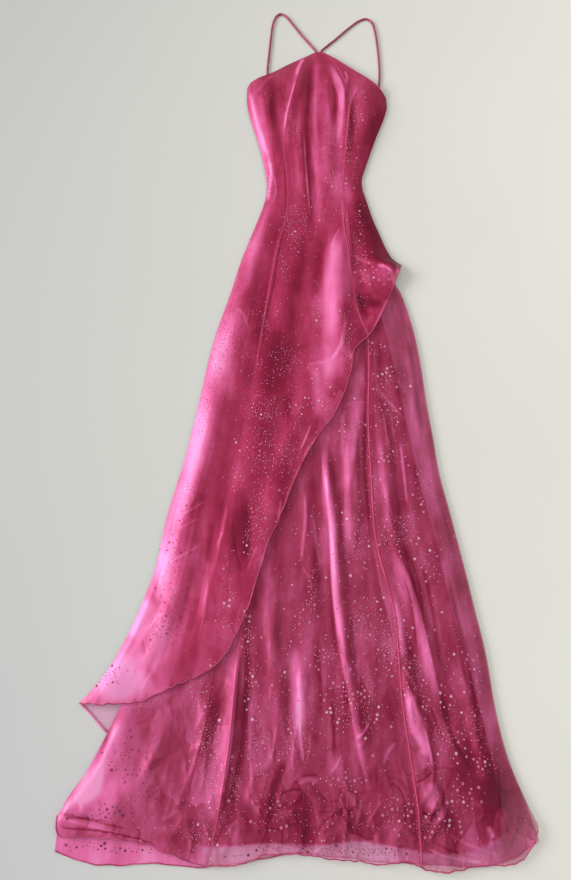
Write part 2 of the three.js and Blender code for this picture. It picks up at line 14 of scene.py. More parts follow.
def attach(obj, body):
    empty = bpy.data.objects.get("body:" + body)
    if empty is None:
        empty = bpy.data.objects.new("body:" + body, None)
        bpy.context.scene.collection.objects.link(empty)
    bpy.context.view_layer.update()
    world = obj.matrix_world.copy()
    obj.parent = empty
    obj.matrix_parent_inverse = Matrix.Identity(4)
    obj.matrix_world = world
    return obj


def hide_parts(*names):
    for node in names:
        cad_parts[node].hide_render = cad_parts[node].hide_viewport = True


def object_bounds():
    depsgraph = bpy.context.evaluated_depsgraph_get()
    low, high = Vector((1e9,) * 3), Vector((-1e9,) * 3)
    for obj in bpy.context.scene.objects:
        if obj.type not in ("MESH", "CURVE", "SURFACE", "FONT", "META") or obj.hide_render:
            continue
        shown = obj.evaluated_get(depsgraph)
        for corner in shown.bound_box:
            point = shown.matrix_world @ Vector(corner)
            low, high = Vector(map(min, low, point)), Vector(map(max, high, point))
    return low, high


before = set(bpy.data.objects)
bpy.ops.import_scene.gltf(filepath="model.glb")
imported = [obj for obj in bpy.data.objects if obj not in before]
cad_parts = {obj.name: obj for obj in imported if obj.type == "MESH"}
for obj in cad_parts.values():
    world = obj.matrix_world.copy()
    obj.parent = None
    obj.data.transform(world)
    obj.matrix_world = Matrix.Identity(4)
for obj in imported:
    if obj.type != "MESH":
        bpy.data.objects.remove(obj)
CAD_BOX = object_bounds()

# Units: the tables below are in millimetres, counted from the hem's lowest point as the pattern is.
MM = 0.001
HEM_Y = CAD_BOX[0][1]
MIDDLE_X = -0.0005


def at(x, y):
    """A place of the tables in the frame's metres."""
    return MIDDLE_X + x * MM, HEM_Y + y * MM


# Camera: a phone held over the hem end of the gown and tilted towards the straps
CAMERA_LENS = 27.0
CAMERA_SENSOR = 36.0
CAMERA_TILT = math.radians(17.7)
CAMERA_HEIGHT = 1.064
CAMERA_FOOT = at(-16.2, 293.3)

# Corners of each panel as top left, bottom left, bottom right, top right, and cells across and down
Panel = namedtuple("Panel", "node corners across down")
PANELS = {
    row.node: row
    for row in (
        Panel("back_left", ((-94, 1379), (-324, 219), (38, 290), (46, 1366)), 60, 160),
        Panel("back_right", ((46, 1366), (38, 290), (172, 960), (187, 1354)), 40, 140),
        Panel("back_underskirt", ((-28, 1110), (-342, 24), (343, 37), (104, 1110)), 130, 150),
        Panel("lining_front", ((6, 1104), (-292, 62), (300, 50), (78, 1104)), 90, 160),
        Panel("underskirt_left", ((-28, 1110), (-341, 70), (-126, 8), (-4, 1110)), 120, 380),
        Panel("underskirt_centre", ((-4, 1110), (-126, 8), (174, 4), (82, 1110)), 200, 380),
        Panel("underskirt_right", ((82, 1110), (174, 4), (343, 55), (104, 1110)), 120, 380),
        Panel("front_left", ((-94, 1379), (-324, 219), (-156, 254), (26, 1457)), 96, 440),
        Panel("front_centre", ((26, 1457), (-156, 254), (130, 822), (72, 1463)), 140, 440),
        Panel("front_right", ((72, 1463), (130, 822), (197, 968), (187, 1354)), 70, 260),
    )
}
OVERLAY = ("front_left", "front_centre", "front_right")
UNDERSKIRT = ("underskirt_left", "underskirt_centre", "underskirt_right")

# Creases: a path from the straps towards the hem, the height of its crest (a trough is negative),
# how far its left and right flanks reach, and how sharp its crest is (1 is rounded)
Crease = namedtuple("Crease", "path high left right sharp")
OVERLAY_CREASES = (
    # bodice, from its left edge to its right
    Crease(((-73, 1371), (-61, 1390), (-40, 1403)), 2.5, 8, 10, 1.2),
    Crease(((-36, 1392), (-40, 1346), (-38, 1295), (-33, 1250)), -4.0, 10, 14, 1.0),
    Crease(((-32, 1371), (-19, 1335), (-17, 1300)), 2.0, 6, 8, 1.6),
    Crease(((-74, 1330), (-62, 1260), (-46, 1180)), 3.0, 12, 22, 1.0),
    Crease(((-52, 1230), (-40, 1160), (-46, 1090), (-66, 1010)), 4.0, 10, 18, 1.2),
    Crease(((27, 1459), (12, 1416), (-1, 1335), (-12, 1270), (-17, 1208)), 7.0, 7, 26, 1.5),
    Crease(((8, 1300), (0, 1240), (-2, 1170), (2, 1100)), 2.5, 8, 14, 1.2),
    Crease(((21, 1255), (24, 1200), (27, 1149), (30, 1062)), 3.5, 5, 9, 1.6),
    Crease(((46, 1456), (41, 1424), (37, 1335), (31, 1270), (31, 1196), (35, 1110), (39, 1052), (42, 1010)), -1.2, 8, 10, 1.2),
    Crease(((52, 1300), (46, 1220), (50, 1130)), 2.0, 8, 14, 1.0),
    Crease(((80, 1450), (100, 1408), (107, 1356), (106, 1310), (107, 1265), (101, 1215), (95, 1170)), 7.5, 24, 12, 1.1),
    Crease(((98, 1420), (104, 1380), (101, 1340), (100, 1290)), 2.0, 4, 5, 1.8),
    Crease(((88, 1352), (84, 1315), (88, 1276)), -3.0, 7, 7, 1.0),
    Crease(((136, 1400), (123, 1371), (116, 1325), (112, 1285)), 3.2, 7, 12, 1.5),
    Crease(((167, 1387), (141, 1356), (126, 1330)), 2.2, 7, 9, 1.5),
    Crease(((160, 1330), (150, 1290), (132, 1230)), 3.0, 12, 20, 1.0),
    # hip and skirt
    Crease(((-54, 1130), (-76, 1040), (-104, 930), (-132, 800)), 4.0, 14, 26, 1.0),
    Crease(((-2, 1090), (-16, 1020), (-40, 900), (-62, 760)), -2.5, 10, 14, 1.0),
    Crease(((96, 1046), (84, 1000), (81, 950), (83, 900), (88, 850), (88, 812), (80, 760)), 9.0, 34, 24, 1.2),
    Crease(((70, 1030), (58, 980), (56, 930)), 2.0, 7, 9, 1.5),
    Crease(((80, 800), (66, 740), (46, 690)), 4.0, 20, 18, 1.2),
    Crease(((116, 1080), (124, 1030), (146, 1000)), -4.0, 14, 14, 1.0),
    Crease(((112, 930), (124, 886), (136, 850)), -4.0, 10, 12, 1.0),
    Crease(((130, 990), (156, 965), (186, 955)), 4.0, 12, 12, 1.3),
    Crease(((-104, 900), (-140, 760), (-166, 620), (-190, 500)), 4.0, 16, 30, 1.0),
    Crease(((-150, 610), (-172, 520), (-200, 430), (-226, 360)), 4.0, 14, 18, 1.3),
    Crease(((-70, 800), (-92, 680), (-112, 560), (-128, 450)), -3.0, 16, 20, 1.0),
    Crease(((-104, 528), (-118, 462), (-132, 385)), 3.5, 9, 12, 1.5),
    Crease(((-82, 495), (-92, 430), (-100, 360)), 3.0, 8, 10, 1.5),
    Crease(((-128, 430), (-140, 370), (-156, 300)), 3.0, 9, 12, 1.4),
    Crease(((-150, 480), (-188, 512)), 2.0, 6, 6, 1.8),
    Crease(((-148, 400), (-196, 374)), 2.0, 6, 6, 1.8),
    Crease(((-190, 380), (-222, 330), (-262, 270), (-300, 232)), 3.5, 12, 16, 1.3),
    Crease(((-150, 380), (-176, 310), (-214, 250)), 3.0, 10, 14, 1.3),
    Crease(((10, 1000), (-10, 900), (-22, 800), (-20, 700)), 2.0, 20, 20, 1.0),
    Crease(((30, 760), (0, 660), (-36, 560), (-60, 470)), 3.0, 14, 16, 1.2),
    Crease(((100, 812), (96, 762), (84, 716)), 3.0, 8, 10, 1.6),
)
SKIRT_CREASES = (
    Crease(((130, 800), (130, 692), (128, 580), (133, 470), (148, 369), (158, 280), (163, 170), (170, 50)), -5.0, 9, 9, 1.2),
    Crease(((48, 640), (53, 560), (60, 505), (62, 440), (68, 360), (74, 295), (84, 230), (96, 165), (106, 120)), 7.0, 8, 22, 1.6),
    Crease(((12, 560), (18, 491), (24, 420), (26, 340)), 4.0, 8, 14, 1.4),
    Crease(((88, 680), (98, 600), (90, 520), (96, 440)), 5.0, 16, 14, 1.1),
    Crease(((141, 768), (143, 722), (166, 696), (192, 668)), 3.0, 6, 9, 1.8),
    Crease(((180, 740), (200, 712), (198, 655)), 2.5, 5, 8, 1.8),
    Crease(((148, 660), (152, 589), (152, 520), (160, 451), (176, 400), (190, 340), (208, 280), (222, 225)), 6.0, 10, 14, 1.5),
    Crease(((168, 670), (180, 608), (184, 540), (196, 470), (214, 400)), 4.0, 8, 12, 1.5),
    Crease(((200, 860), (204, 760), (206, 660), (212, 580)), 3.0, 10, 14, 1.2),
    Crease(((228, 600), (238, 500), (250, 410), (262, 330)), 3.5, 10, 14, 1.3),
    Crease(((160, 350), (160, 300), (168, 240), (190, 190), (202, 130)), 5.5, 8, 12, 1.6),
    Crease(((200, 330), (216, 255), (230, 180), (246, 120)), -4.0, 10, 12, 1.2),
    Crease(((240, 290), (252, 220), (268, 150), (284, 90)), 3.5, 10, 12, 1.3),
    Crease(((176, 122), (196, 112), (208, 84), (200, 58), (180, 54)), 4.0, 8, 8, 1.5),
    Crease(((-84, 330), (-92, 240), (-99, 160), (-108, 85), (-116, 40)), 7.0, 12, 6, 1.6),
    Crease(((-72, 330), (-74, 240), (-76, 150), (-72, 70)), -4.5, 8, 12, 1.0),
    Crease(((-120, 250), (-131, 201), (-145, 148), (-163, 99), (-176, 70)), 4.5, 5, 12, 1.6),
    Crease(((-44, 460), (-44, 380), (-36, 300), (-28, 210), (-20, 140)), 5.0, 12, 16, 1.2),
    Crease(((6, 300), (8, 250), (6, 190), (0, 140)), 4.5, 8, 14, 1.3),
    Crease(((-14, 210), (-4, 160), (4, 120)), 3.0, 6, 8, 1.6),
    Crease(((30, 260), (34, 200), (28, 140)), -3.0, 9, 10, 1.0),
    Crease(((112, 330), (112, 260), (122, 190), (128, 120)), 4.0, 9, 12, 1.4),
    Crease(((118, 170), (112, 120), (120, 70), (112, 40)), 3.5, 7, 9, 1.6),
    Crease(((140, 170), (146, 120), (138, 70)), 3.0, 6, 9, 1.6),
    Crease(((-60, 60), (-50, 80), (-30, 96), (0, 100), (36, 104)), 4.0, 9, 12, 1.4),
    Crease(((20, 52), (40, 64), (58, 68), (76, 56), (90, 44)), 3.5, 8, 9, 1.6),
    Crease(((-20, 60), (0, 78), (20, 74)), 2.5, 7, 8, 1.5),
    Crease(((-176, 210), (-206, 150), (-240, 100), (-284, 62)), 4.0, 12, 18, 1.2),
    Crease(((-240, 236), (-262, 180), (-290, 124), (-322, 80)), 3.5, 12, 16, 1.2),
    Crease(((-330, 60), (-270, 56), (-200, 44), (-150, 26)), 3.0, 6, 8, 1.6),
    Crease(((200, 40), (240, 30), (290, 36), (320, 60)), 3.5, 8, 10, 1.4),
    Crease(((196, 100), (230, 84), (262, 92), (280, 120)), 3.0, 9, 10, 1.3),
    Crease(((236, 76), (262, 58), (290, 70)), 2.5, 7, 8, 1.5),
)

# Creases taper over this share of their length and rise and fall over this many millimetres
CREASE_TAPER = 0.5
CREASE_BEAT = 22

# Painted light and shade in the cloth's tone: how much a slope towards the window, and lying at the left, brightens the
# cloth
LIT_GAIN = 0.5
LEFT_GLOW = 0.1
# Painted shade that darkens the right underskirt towards its right side: how much, and its reach in millimetres
EDGE_SHADE = 0.4
SHADE_REACH = 60

# Soft changes of tone: painted shade where the layers bunch (darker, partly the thicker stack of cloth too) and painted
# highlights where they catch the light (brighter)
Tone = namedtuple("Tone", "x y wide long turn amount")
TONES = (
    Tone(125, 1082, 14, 32, -8, -0.85),
    Tone(103, 1120, 10, 30, 0, 0.45),
    Tone(140, 1026, 20, 38, -14, -0.85),
    Tone(128, 888, 14, 30, 0, -0.6),
    Tone(150, 1270, 24, 90, 10, -0.15),
    Tone(-44, 1330, 10, 60, 0, -0.25),
    Tone(66, 930, 24, 130, 3, 0.1),
    Tone(190, 990, 20, 30, -30, -0.3),
    Tone(84, 1210, 14, 60, 0, 0.3),
    Tone(84, 1125, 14, 40, 0, 0.5),
    Tone(-50, 978, 20, 60, -10, 0.45),
    Tone(139, 968, 16, 16, 0, -0.7),
    Tone(92, 925, 14, 40, 0, 0.8),
    Tone(-123, 777, 20, 90, -12, 0.55),
    Tone(62, 757, 20, 30, 0, 0.6),
    Tone(-115, 494, 26, 66, -12, -0.75),
    Tone(-208, 323, 30, 40, -20, 0.25),
    Tone(-262, 244, 34, 24, 0, 1.5),
    Tone(20, 955, 24, 50, 0, -0.2),
    Tone(24, 1300, 14, 50, 0, 0.15),
    Tone(-206, 323, 24, 40, -20, 0.3),
    Tone(-126, 165, 14, 60, -6, -0.2),
    Tone(264, 223, 16, 50, -10, 0.25),
    Tone(-185, 330, 26, 90, -24, -0.3),
    Tone(-262, 130, 30, 60, -36, 0.3),
    Tone(141, 770, 16, 40, 0, -0.5),
    Tone(36, 520, 20, 60, 0, -0.3),
    Tone(8, 360, 14, 60, 0, -0.25),
    Tone(6, 195, 10, 34, 0, 0.6),
    Tone(20, 100, 50, 44, 0, -0.1),
    Tone(150, 90, 60, 50, 0, -0.15),
    Tone(240, 110, 34, 60, 0, -0.4),
    Tone(240, 215, 20, 70, -10, 0.2),
    Tone(300, 80, 20, 60, -12, -0.7),
    Tone(-16, 960, 30, 120, -8, -0.2),
    Tone(-30, 800, 44, 110, -8, -0.5),
    Tone(30, 830, 30, 90, -8, 0.2),
    Tone(-60, 640, 26, 120, -10, -0.4),
    Tone(-80, 420, 16, 120, -6, -0.3),
    Tone(-160, 640, 26, 200, -12, 0.35),
    Tone(-104, 900, 14, 150, -14, 0.2),
    Tone(-190, 400, 44, 120, -26, 0.35),
    Tone(-240, 280, 60, 60, -45, 0.55),
    Tone(-300, 110, 30, 60, -40, 1.15),
    Tone(-216, 130, 50, 90, -20, 0.08),
    Tone(220, 250, 16, 90, 10, -0.35),
    Tone(180, 240, 12, 80, 12, 0.2),
    Tone(8, 235, 12, 46, 0, 0.45),
    Tone(-10, 60, 60, 34, 0, -0.35),
    Tone(190, 840, 12, 90, 6, -0.35),
)

# Strokes: painted shade where the layers bunch or part, and painted highlights where they catch the light, read along
# the photo's folds.
# A path from the straps towards the hem, how far it reaches to its left and right, and its tone: painted light when
# positive, painted shade when negative.
Stroke = namedtuple("Stroke", "path left right tone")
SKIRT_STROKES = (
    # the right seam's valley, and the lit cloth on both sides of it
    Stroke(((125, 805), (125, 738), (120, 665), (116, 595), (118, 527), (121, 462)), 7, 4, -0.75),
    Stroke(((121, 462), (129, 399), (142, 338), (149, 294)), 14, 3, -0.45),
    Stroke(((106, 705), (104, 647), (94, 595), (84, 535)), 20, 7, 0.65),
    Stroke(((82, 683), (79, 644), (78, 598)), 4, 6, 0.35),
    Stroke(((139, 805), (140, 748), (145, 701)), 3, 10, 0.35),
    Stroke(((143, 724), (162, 698), (185, 669)), 3, 3, 0.5),
    Stroke(((148, 767), (175, 738), (197, 712)), 2.5, 7, 0.25),
    Stroke(((197, 712), (197, 683), (196, 653)), 2.5, 5, 0.3),
    Stroke(((77, 687), (97, 696), (132, 698)), 2.5, 4, 0.3),
    Stroke(((151, 680), (153, 644), (158, 612)), 3, 3, 0.45),
    Stroke(((163, 680), (165, 651), (166, 626)), 2.5, 2.5, 0.4),
    Stroke(((176, 633), (179, 591), (181, 547), (183, 517)), 4, 4, 0.8),
    Stroke(((146, 561), (149, 519), (156, 478), (167, 441)), 4, 10, 0.45),
    Stroke(((143, 540), (151, 507), (161, 475)), 2.5, 2.5, -0.4),
    # the long bright ridge in the middle
    Stroke(((46, 616), (49, 569), (54, 519), (58, 462), (59, 414), (61, 368), (66, 323), (74, 280)), 5, 13, 1.0),
    Stroke(((74, 287), (79, 237), (83, 196), (90, 162), (97, 129)), 2.5, 15, 0.5),
    Stroke(((52, 454), (55, 384), (60, 323), (68, 273), (77, 223), (84, 175)), 10, 1.5, -0.45),
    Stroke(((14, 547), (17, 502), (13, 462), (8, 422)), 4, 5, 0.6),
    Stroke(((28, 501), (34, 454), (40, 411)), 3, 4, 0.45),
    Stroke(((10, 421), (19, 407), (32, 399)), 3, 3, 0.3),
    # right of the seam
    Stroke(((163, 443), (175, 407), (187, 371), (195, 331), (203, 287), (211, 244), (216, 216)), 16, 2.5, 0.65),
    Stroke(((177, 436), (187, 405), (193, 371)), 2.5, 3, 0.5),
    Stroke(((169, 407), (178, 368), (182, 331), (184, 297)), 2.5, 2.5, -0.45),
    Stroke(((181, 399), (188, 364), (192, 321)), 2.5, 2.5, -0.4),
    Stroke(((153, 371), (159, 338), (161, 301), (163, 277)), 5, 9, 0.7),
    Stroke(((160, 274), (170, 257), (182, 234)), 4, 4, 0.5),
    Stroke(((167, 244), (168, 207), (173, 182), (183, 163), (196, 139)), 8, 18, 0.85),
    Stroke(((188, 185), (193, 162), (197, 132)), 3, 3, 0.7),
    Stroke(((172, 223), (174, 203), (176, 185)), 2.5, 2.5, -0.4),
    Stroke(((198, 430), (207, 384), (212, 346), (215, 309), (219, 273)), 3, 7, -0.5),
    Stroke(((235, 384), (241, 338), (246, 294), (250, 251), (255, 220)), 18, 4, 0.3),
    Stroke(((240, 414), (244, 368), (252, 323), (260, 280), (264, 237), (267, 196)), 3, 8, -0.5),
    Stroke(((216, 237), (221, 203), (229, 171), (242, 145), (258, 126)), 5, 7, -0.75),
    Stroke(((199, 216), (207, 189), (220, 162)), 2.5, 3, -0.4),
    Stroke(((227, 166), (240, 146), (251, 129)), 2.5, 2.5, 0.3),
    # the seam strip at the left, the dark fold beside it and its crisp panels
    Stroke(((-84, 309), (-88, 273), (-91, 223), (-95, 169), (-99, 135), (-106, 103), (-112, 71)), 6, 2.5, 0.95),
    Stroke(((-79, 335), (-76, 280), (-77, 223), (-80, 169), (-88, 122), (-95, 84)), 3, 12, -0.75),
    Stroke(((-72, 237), (-70, 169), (-66, 103), (-62, 55)), 1.5, 14, 0.4),
    Stroke(((-42, 175), (-39, 139), (-50, 103), (-58, 59)), 9, 2.5, 0.25),
    Stroke(((-18, 142), (-30, 109), (-41, 77)), 10, 10, -0.8),
    Stroke(((-122, 280), (-129, 223), (-137, 175), (-147, 135), (-157, 97), (-169, 71)), 2.5, 3, -0.4),
    Stroke(((-105, 223), (-118, 155), (-133, 97)), 14, 14, 0.25),
    Stroke(((-168, 79), (-180, 70), (-194, 65)), 4, 5, 0.45),
    Stroke(((-110, 207), (-118, 175), (-123, 153)), 2.5, 2.5, 0.4),
    Stroke(((-130, 135), (-136, 116), (-140, 100)), 2.5, 2.5, 0.45),
    # folds over the knee
    Stroke(((0, 300), (2, 244), (3, 206), (0, 170)), 16, 14, 0.6),
    Stroke(((5, 201), (6, 169), (11, 134)), 2.5, 3, 0.75),
    Stroke(((2, 198), (-5, 162), (-7, 126)), 2.5, 2.5, 0.5),
    Stroke(((20, 178), (18, 153), (12, 134)), 2.5, 2.5, 0.5),
    Stroke(((-29, 192), (-34, 162), (-37, 134)), 2.5, 3, 0.5),
    Stroke(((33, 301), (37, 237), (38, 193)), 12, 4, -0.45),
    Stroke(((52, 223), (55, 182), (54, 139)), 5, 5, -0.6),
    # wrinkles over the hem
    Stroke(((3, 111), (18, 116), (32, 111)), 4, 8, 0.55),
    Stroke(((-25, 97), (-10, 103), (10, 104)), 2.5, 2.5, -0.65),
    Stroke(((6, 121), (22, 122), (35, 120)), 2.5, 2.5, -0.5),
    Stroke(((29, 103), (44, 89), (63, 90)), 2.5, 2.5, -0.35),
    Stroke(((29, 40), (33, 57), (47, 69), (64, 75)), 2.5, 2.5, -0.6),
    Stroke(((64, 75), (75, 60), (80, 41)), 2.5, 2.5, -0.45),
    Stroke(((20, 93), (24, 75), (30, 57)), 2.5, 2.5, -0.35),
    Stroke(((-1, 82), (0, 65), (4, 45)), 6, 3, -0.3),
    Stroke(((66, 149), (58, 135), (49, 124)), 2.5, 2.5, 0.7),
    Stroke(((109, 194), (98, 179), (86, 170)), 3, 3, 1.0),
    Stroke(((60, 97), (66, 80), (75, 59)), 3, 3, 0.5),
    Stroke(((122, 91), (110, 75), (98, 57)), 2.5, 2.5, 0.5),
    Stroke(((147, 166), (135, 154), (125, 134)), 4, 4, 0.6),
    Stroke(((87, 169), (93, 142), (100, 118), (104, 88)), 3, 9, 0.4),
    Stroke(((93, 90), (88, 71), (83, 55)), 4, 4, 0.5),
    Stroke(((128, 97), (137, 111), (148, 103), (154, 75), (151, 50)), 2.5, 2.5, -0.45),
    # the petals beside the right seam
    Stroke(((181, 157), (186, 142), (190, 129)), 14, 10, 0.6),
    Stroke(((170, 112), (185, 118), (198, 128)), 2.5, 3, -0.75),
    Stroke(((192, 115), (193, 94), (189, 77)), 15, 14, 0.75),
    Stroke(((177, 111), (172, 94), (176, 77)), 2.5, 2.5, -0.5),
    Stroke(((176, 75), (190, 72), (205, 80)), 2.5, 2.5, -0.75),
    Stroke(((209, 108), (210, 93), (205, 80)), 2.5, 2.5, -0.45),
    Stroke(((179, 65), (193, 62), (206, 69)), 4, 5, 0.35),
    # the right corner
    Stroke(((271, 57), (275, 49), (277, 41)), 8, 6, 0.9),
    Stroke(((255, 61), (267, 71), (281, 69)), 2.5, 2.5, 0.35),
    Stroke(((247, 82), (255, 86), (263, 80)), 6, 6, 0.35),
    Stroke(((178, 31), (206, 20), (241, 13), (264, 13)), 2.5, 3, 0.55),
    Stroke(((187, 39), (221, 24), (258, 15)), 2.5, 2.5, -0.35),
    Stroke(((208, 49), (242, 33), (287, 19)), 2.5, 3, 0.3),
    # the left corner: light from the window, and its stacked hem
    Stroke(((-263, 207), (-273, 166), (-286, 129), (-302, 103), (-323, 80)), 8, 22, 0.95),
    Stroke(((-341, 74), (-307, 67), (-262, 62)), 2.5, 2.5, -0.5),
    # stacked hem layers at the left corner
    Stroke(((-342, 74), (-323, 67), (-304, 66), (-270, 59), (-236, 53)), 2, 2.5, -0.6),
    Stroke(((-339, 67), (-304, 59), (-270, 52), (-240, 45)), 3, 4, 0.4),
    Stroke(((-346, 60), (-326, 54), (-293, 52), (-254, 47), (-221, 40), (-190, 30)), 2, 2.5, -0.75),
    Stroke(((-300, 70), (-296, 62), (-300, 54)), 2, 3, -0.45),
    Stroke(((-262, 62), (-257, 54), (-262, 46)), 2, 3, -0.45),
    Stroke(((-228, 56), (-222, 47), (-226, 38)), 2, 4, -0.45),
    Stroke(((-320, 96), (-310, 84), (-306, 72)), 3, 5, 0.3),
    Stroke(((-286, 92), (-280, 80), (-282, 66)), 3, 6, -0.25),
    Stroke(((-274, 36), (-266, 28), (-255, 19)), 2.5, 3, 0.5),
    Stroke(((-218, 223), (-200, 169), (-185, 116)), 40, 26, -0.2),
)
OVERLAY_STROKES = (
    # bodice, from the left rim to the right seam
    Stroke(((-90, 1376), (-83, 1333), (-73, 1284), (-60, 1235), (-50, 1200)), 4, 9, 0.9),
    Stroke(((-50, 1204), (-44, 1176), (-46, 1141), (-51, 1103)), 6, 6, 0.85),
    Stroke(((-40, 1167), (-34, 1130), (-42, 1094)), 3, 3, 0.4),
    Stroke(((-38, 1412), (-58, 1386), (-76, 1358)), 5, 6, 0.4),
    Stroke(((-37, 1371), (-39, 1321), (-37, 1262)), 6, 6, -0.1),
    Stroke(((-29, 1379), (-19, 1333), (-15, 1301)), 2.5, 2.5, -0.3),
    Stroke(((-43, 1233), (-35, 1188), (-27, 1148)), 10, 8, -0.2),
    Stroke(((24, 1457), (13, 1428), (7, 1399)), 9, 3, 1.0),
    Stroke(((5, 1391), (-5, 1346), (-15, 1296), (-19, 1254)), 3, 2.5, 0.9),
    Stroke(((11, 1397), (1, 1346), (-9, 1301), (-13, 1262)), 2.5, 5, -0.35),
    Stroke(((-19, 1247), (-17, 1176), (-15, 1085), (-25, 1019), (-39, 914), (-51, 854), (-57, 795)), 3, 3, -0.4),
    Stroke(((47, 1459), (44, 1397), (37, 1333), (30, 1284), (24, 1242), (27, 1188), (32, 1130), (36, 1074), (40, 1026)), 10, 9, 0.22),
    Stroke(((20, 1254), (22, 1200), (25, 1153), (28, 1107), (30, 1067)), 2.5, 2.5, 0.8),
    Stroke(((75, 1446), (88, 1402), (98, 1371), (96, 1321), (91, 1271), (84, 1218)), 16, 8, 0.8),
    Stroke(((80, 1381), (87, 1346), (88, 1301)), 8, 2.5, -0.45),
    Stroke(((108, 1371), (109, 1331), (104, 1291)), 2.5, 2.5, -0.45),
    Stroke(((114, 1376), (113, 1336), (107, 1286)), 2.5, 2.5, 0.5),
    Stroke(((105, 1417), (109, 1397), (104, 1376)), 4, 4, 0.8),
    Stroke(((137, 1386), (122, 1358), (112, 1321), (105, 1276), (100, 1218)), 2.5, 2.5, 0.45),
    Stroke(((65, 1346), (74, 1271), (78, 1218)), 14, 6, 0.2),
    Stroke(((91, 1112), (93, 1041), (99, 977), (101, 927)), 2.5, 2.5, 0.7),
    Stroke(((98, 1096), (102, 1030), (107, 968)), 2.5, 2.5, 0.45),
    Stroke(((94, 1081), (96, 1028), (102, 972)), 1.5, 1.5, -0.4),
    # hip
    Stroke(((-49, 1096), (-60, 1052), (-71, 1009), (-81, 956), (-93, 894)), 16, 16, 0.4),
    Stroke(((-25, 1063), (-37, 998), (-48, 925), (-58, 854), (-64, 795)), 26, 3, -0.4),
    Stroke(((84, 1040), (72, 990), (62, 940), (62, 894), (66, 854), (66, 805)), 26, 28, 0.62),
    Stroke(((56, 1024), (48, 956), (40, 894)), 20, 14, -0.35),
    Stroke(((86, 1045), (76, 1024), (68, 998)), 3, 5, 0.4),
    Stroke(((92, 858), (85, 818), (78, 795), (61, 772)), 6, 6, 0.6),
    Stroke(((30, 769), (38, 738), (39, 701), (34, 662)), 13, 13, 0.5),
    Stroke(((19, 765), (37, 769), (56, 772)), 3, 5, 0.35),
    Stroke(((-38, 844), (-41, 776), (-46, 705)), 24, 28, -0.45),
    Stroke(((-12, 716), (-14, 662)), 14, 14, -0.35),
    Stroke(((16, 1030), (10, 956), (4, 894)), 20, 20, -0.25),
    Stroke(((-103, 874), (-90, 862), (-84, 840)), 2.5, 2.5, 0.5),
    Stroke(((-76, 878), (-83, 858), (-83, 834)), 2.5, 2.5, 0.35),
    # left edge of the overlay
    Stroke(((-92, 900), (-128, 790), (-150, 700), (-170, 600), (-190, 500), (-212, 420), (-238, 345)), 24, 30, 0.3),
    Stroke(((-100, 886), (-116, 834), (-134, 776), (-145, 735)), 22, 20, 0.3),
    Stroke(((-151, 709), (-163, 630), (-172, 578), (-183, 527), (-195, 475)), 20, 24, 0.5),
    Stroke(((-146, 525), (-161, 514), (-180, 502)), 2.5, 2.5, 0.5),
    Stroke(((-153, 496), (-170, 488), (-187, 478)), 2.5, 2.5, 0.35),
    Stroke(((-151, 454), (-176, 438), (-202, 425)), 2.5, 2.5, 0.4),
    Stroke(((-151, 544), (-168, 514), (-179, 481)), 3, 22, -0.3),
    Stroke(((-213, 449), (-209, 407), (-210, 365)), 12, 16, 0.6),
    Stroke(((-231, 374), (-242, 341), (-257, 309)), 20, 22, 0.75),
    Stroke(((-201, 350), (-216, 340), (-226, 323)), 2.5, 3, 0.5),
    Stroke(((-253, 291), (-263, 265), (-276, 240)), 24, 26, 0.5),
    Stroke(((-230, 268), (-217, 260), (-204, 237)), 10, 12, -0.3),
    Stroke(((-234, 309), (-229, 286)), 2.5, 2.5, -0.35),
    Stroke(((-217, 263), (-227, 246), (-234, 234)), 2.5, 2.5, 0.4),
    # folds over the overlay's hem
    Stroke(((-111, 519), (-114, 491), (-118, 459)), 4, 4, 0.4),
    Stroke(((-117, 478), (-121, 462), (-124, 449)), 2.5, 2.5, 0.6),
    Stroke(((-101, 494), (-95, 446), (-86, 411)), 3, 3, -0.45),
    Stroke(((-81, 530), (-76, 478), (-77, 427)), 12, 8, -0.5),
    Stroke(((-133, 497), (-137, 454), (-140, 421)), 9, 9, -0.4),
    Stroke(((-138, 414), (-140, 361), (-144, 309)), 2.5, 2.5, 0.25),
    Stroke(((-156, 384), (-152, 323), (-156, 268)), 24, 14, -0.35),
    Stroke(((27, 658), (18, 633), (8, 610)), 2.5, 3, 0.95),
    Stroke(((38, 635), (23, 616), (11, 591)), 3, 3, 0.7),
    Stroke(((13, 595), (1, 569), (-10, 540), (-19, 507)), 4, 2.5, 0.7),
    Stroke(((-24, 529), (-25, 511), (-28, 491)), 2.5, 3, 0.8),
    Stroke(((-60, 454), (-69, 433), (-77, 411)), 3, 2.5, 0.4),
    # the corner flounce
    Stroke(((113, 908), (128, 888), (161, 886)), 13, 13, -0.6),
    Stroke(((149, 960), (164, 956), (178, 945)), 5, 5, 0.9),
    Stroke(((187, 966), (189, 950), (190, 932)), 5, 4, 1.1),
    Stroke(((179, 966), (182, 948), (187, 928)), 2, 2, -0.5),
    Stroke(((106, 985), (124, 972), (146, 960)), 4, 9, 0.5),
    Stroke(((103, 894), (117, 858), (126, 822)), 2.5, 2.5, 0.5),
    Stroke(((168, 898), (154, 866), (137, 832)), 3, 2.5, 0.6),
    Stroke(((138, 862), (127, 844)), 8, 8, 0.3),
)
STROKE_RISE = 0.9  # height in millimetres that a stroke of tone 1 adds
STROKE_SOFT = 5.0  # narrowest flank of that height
STROKE_ENDS = 0.22  # share of a stroke over which each of its ends fades
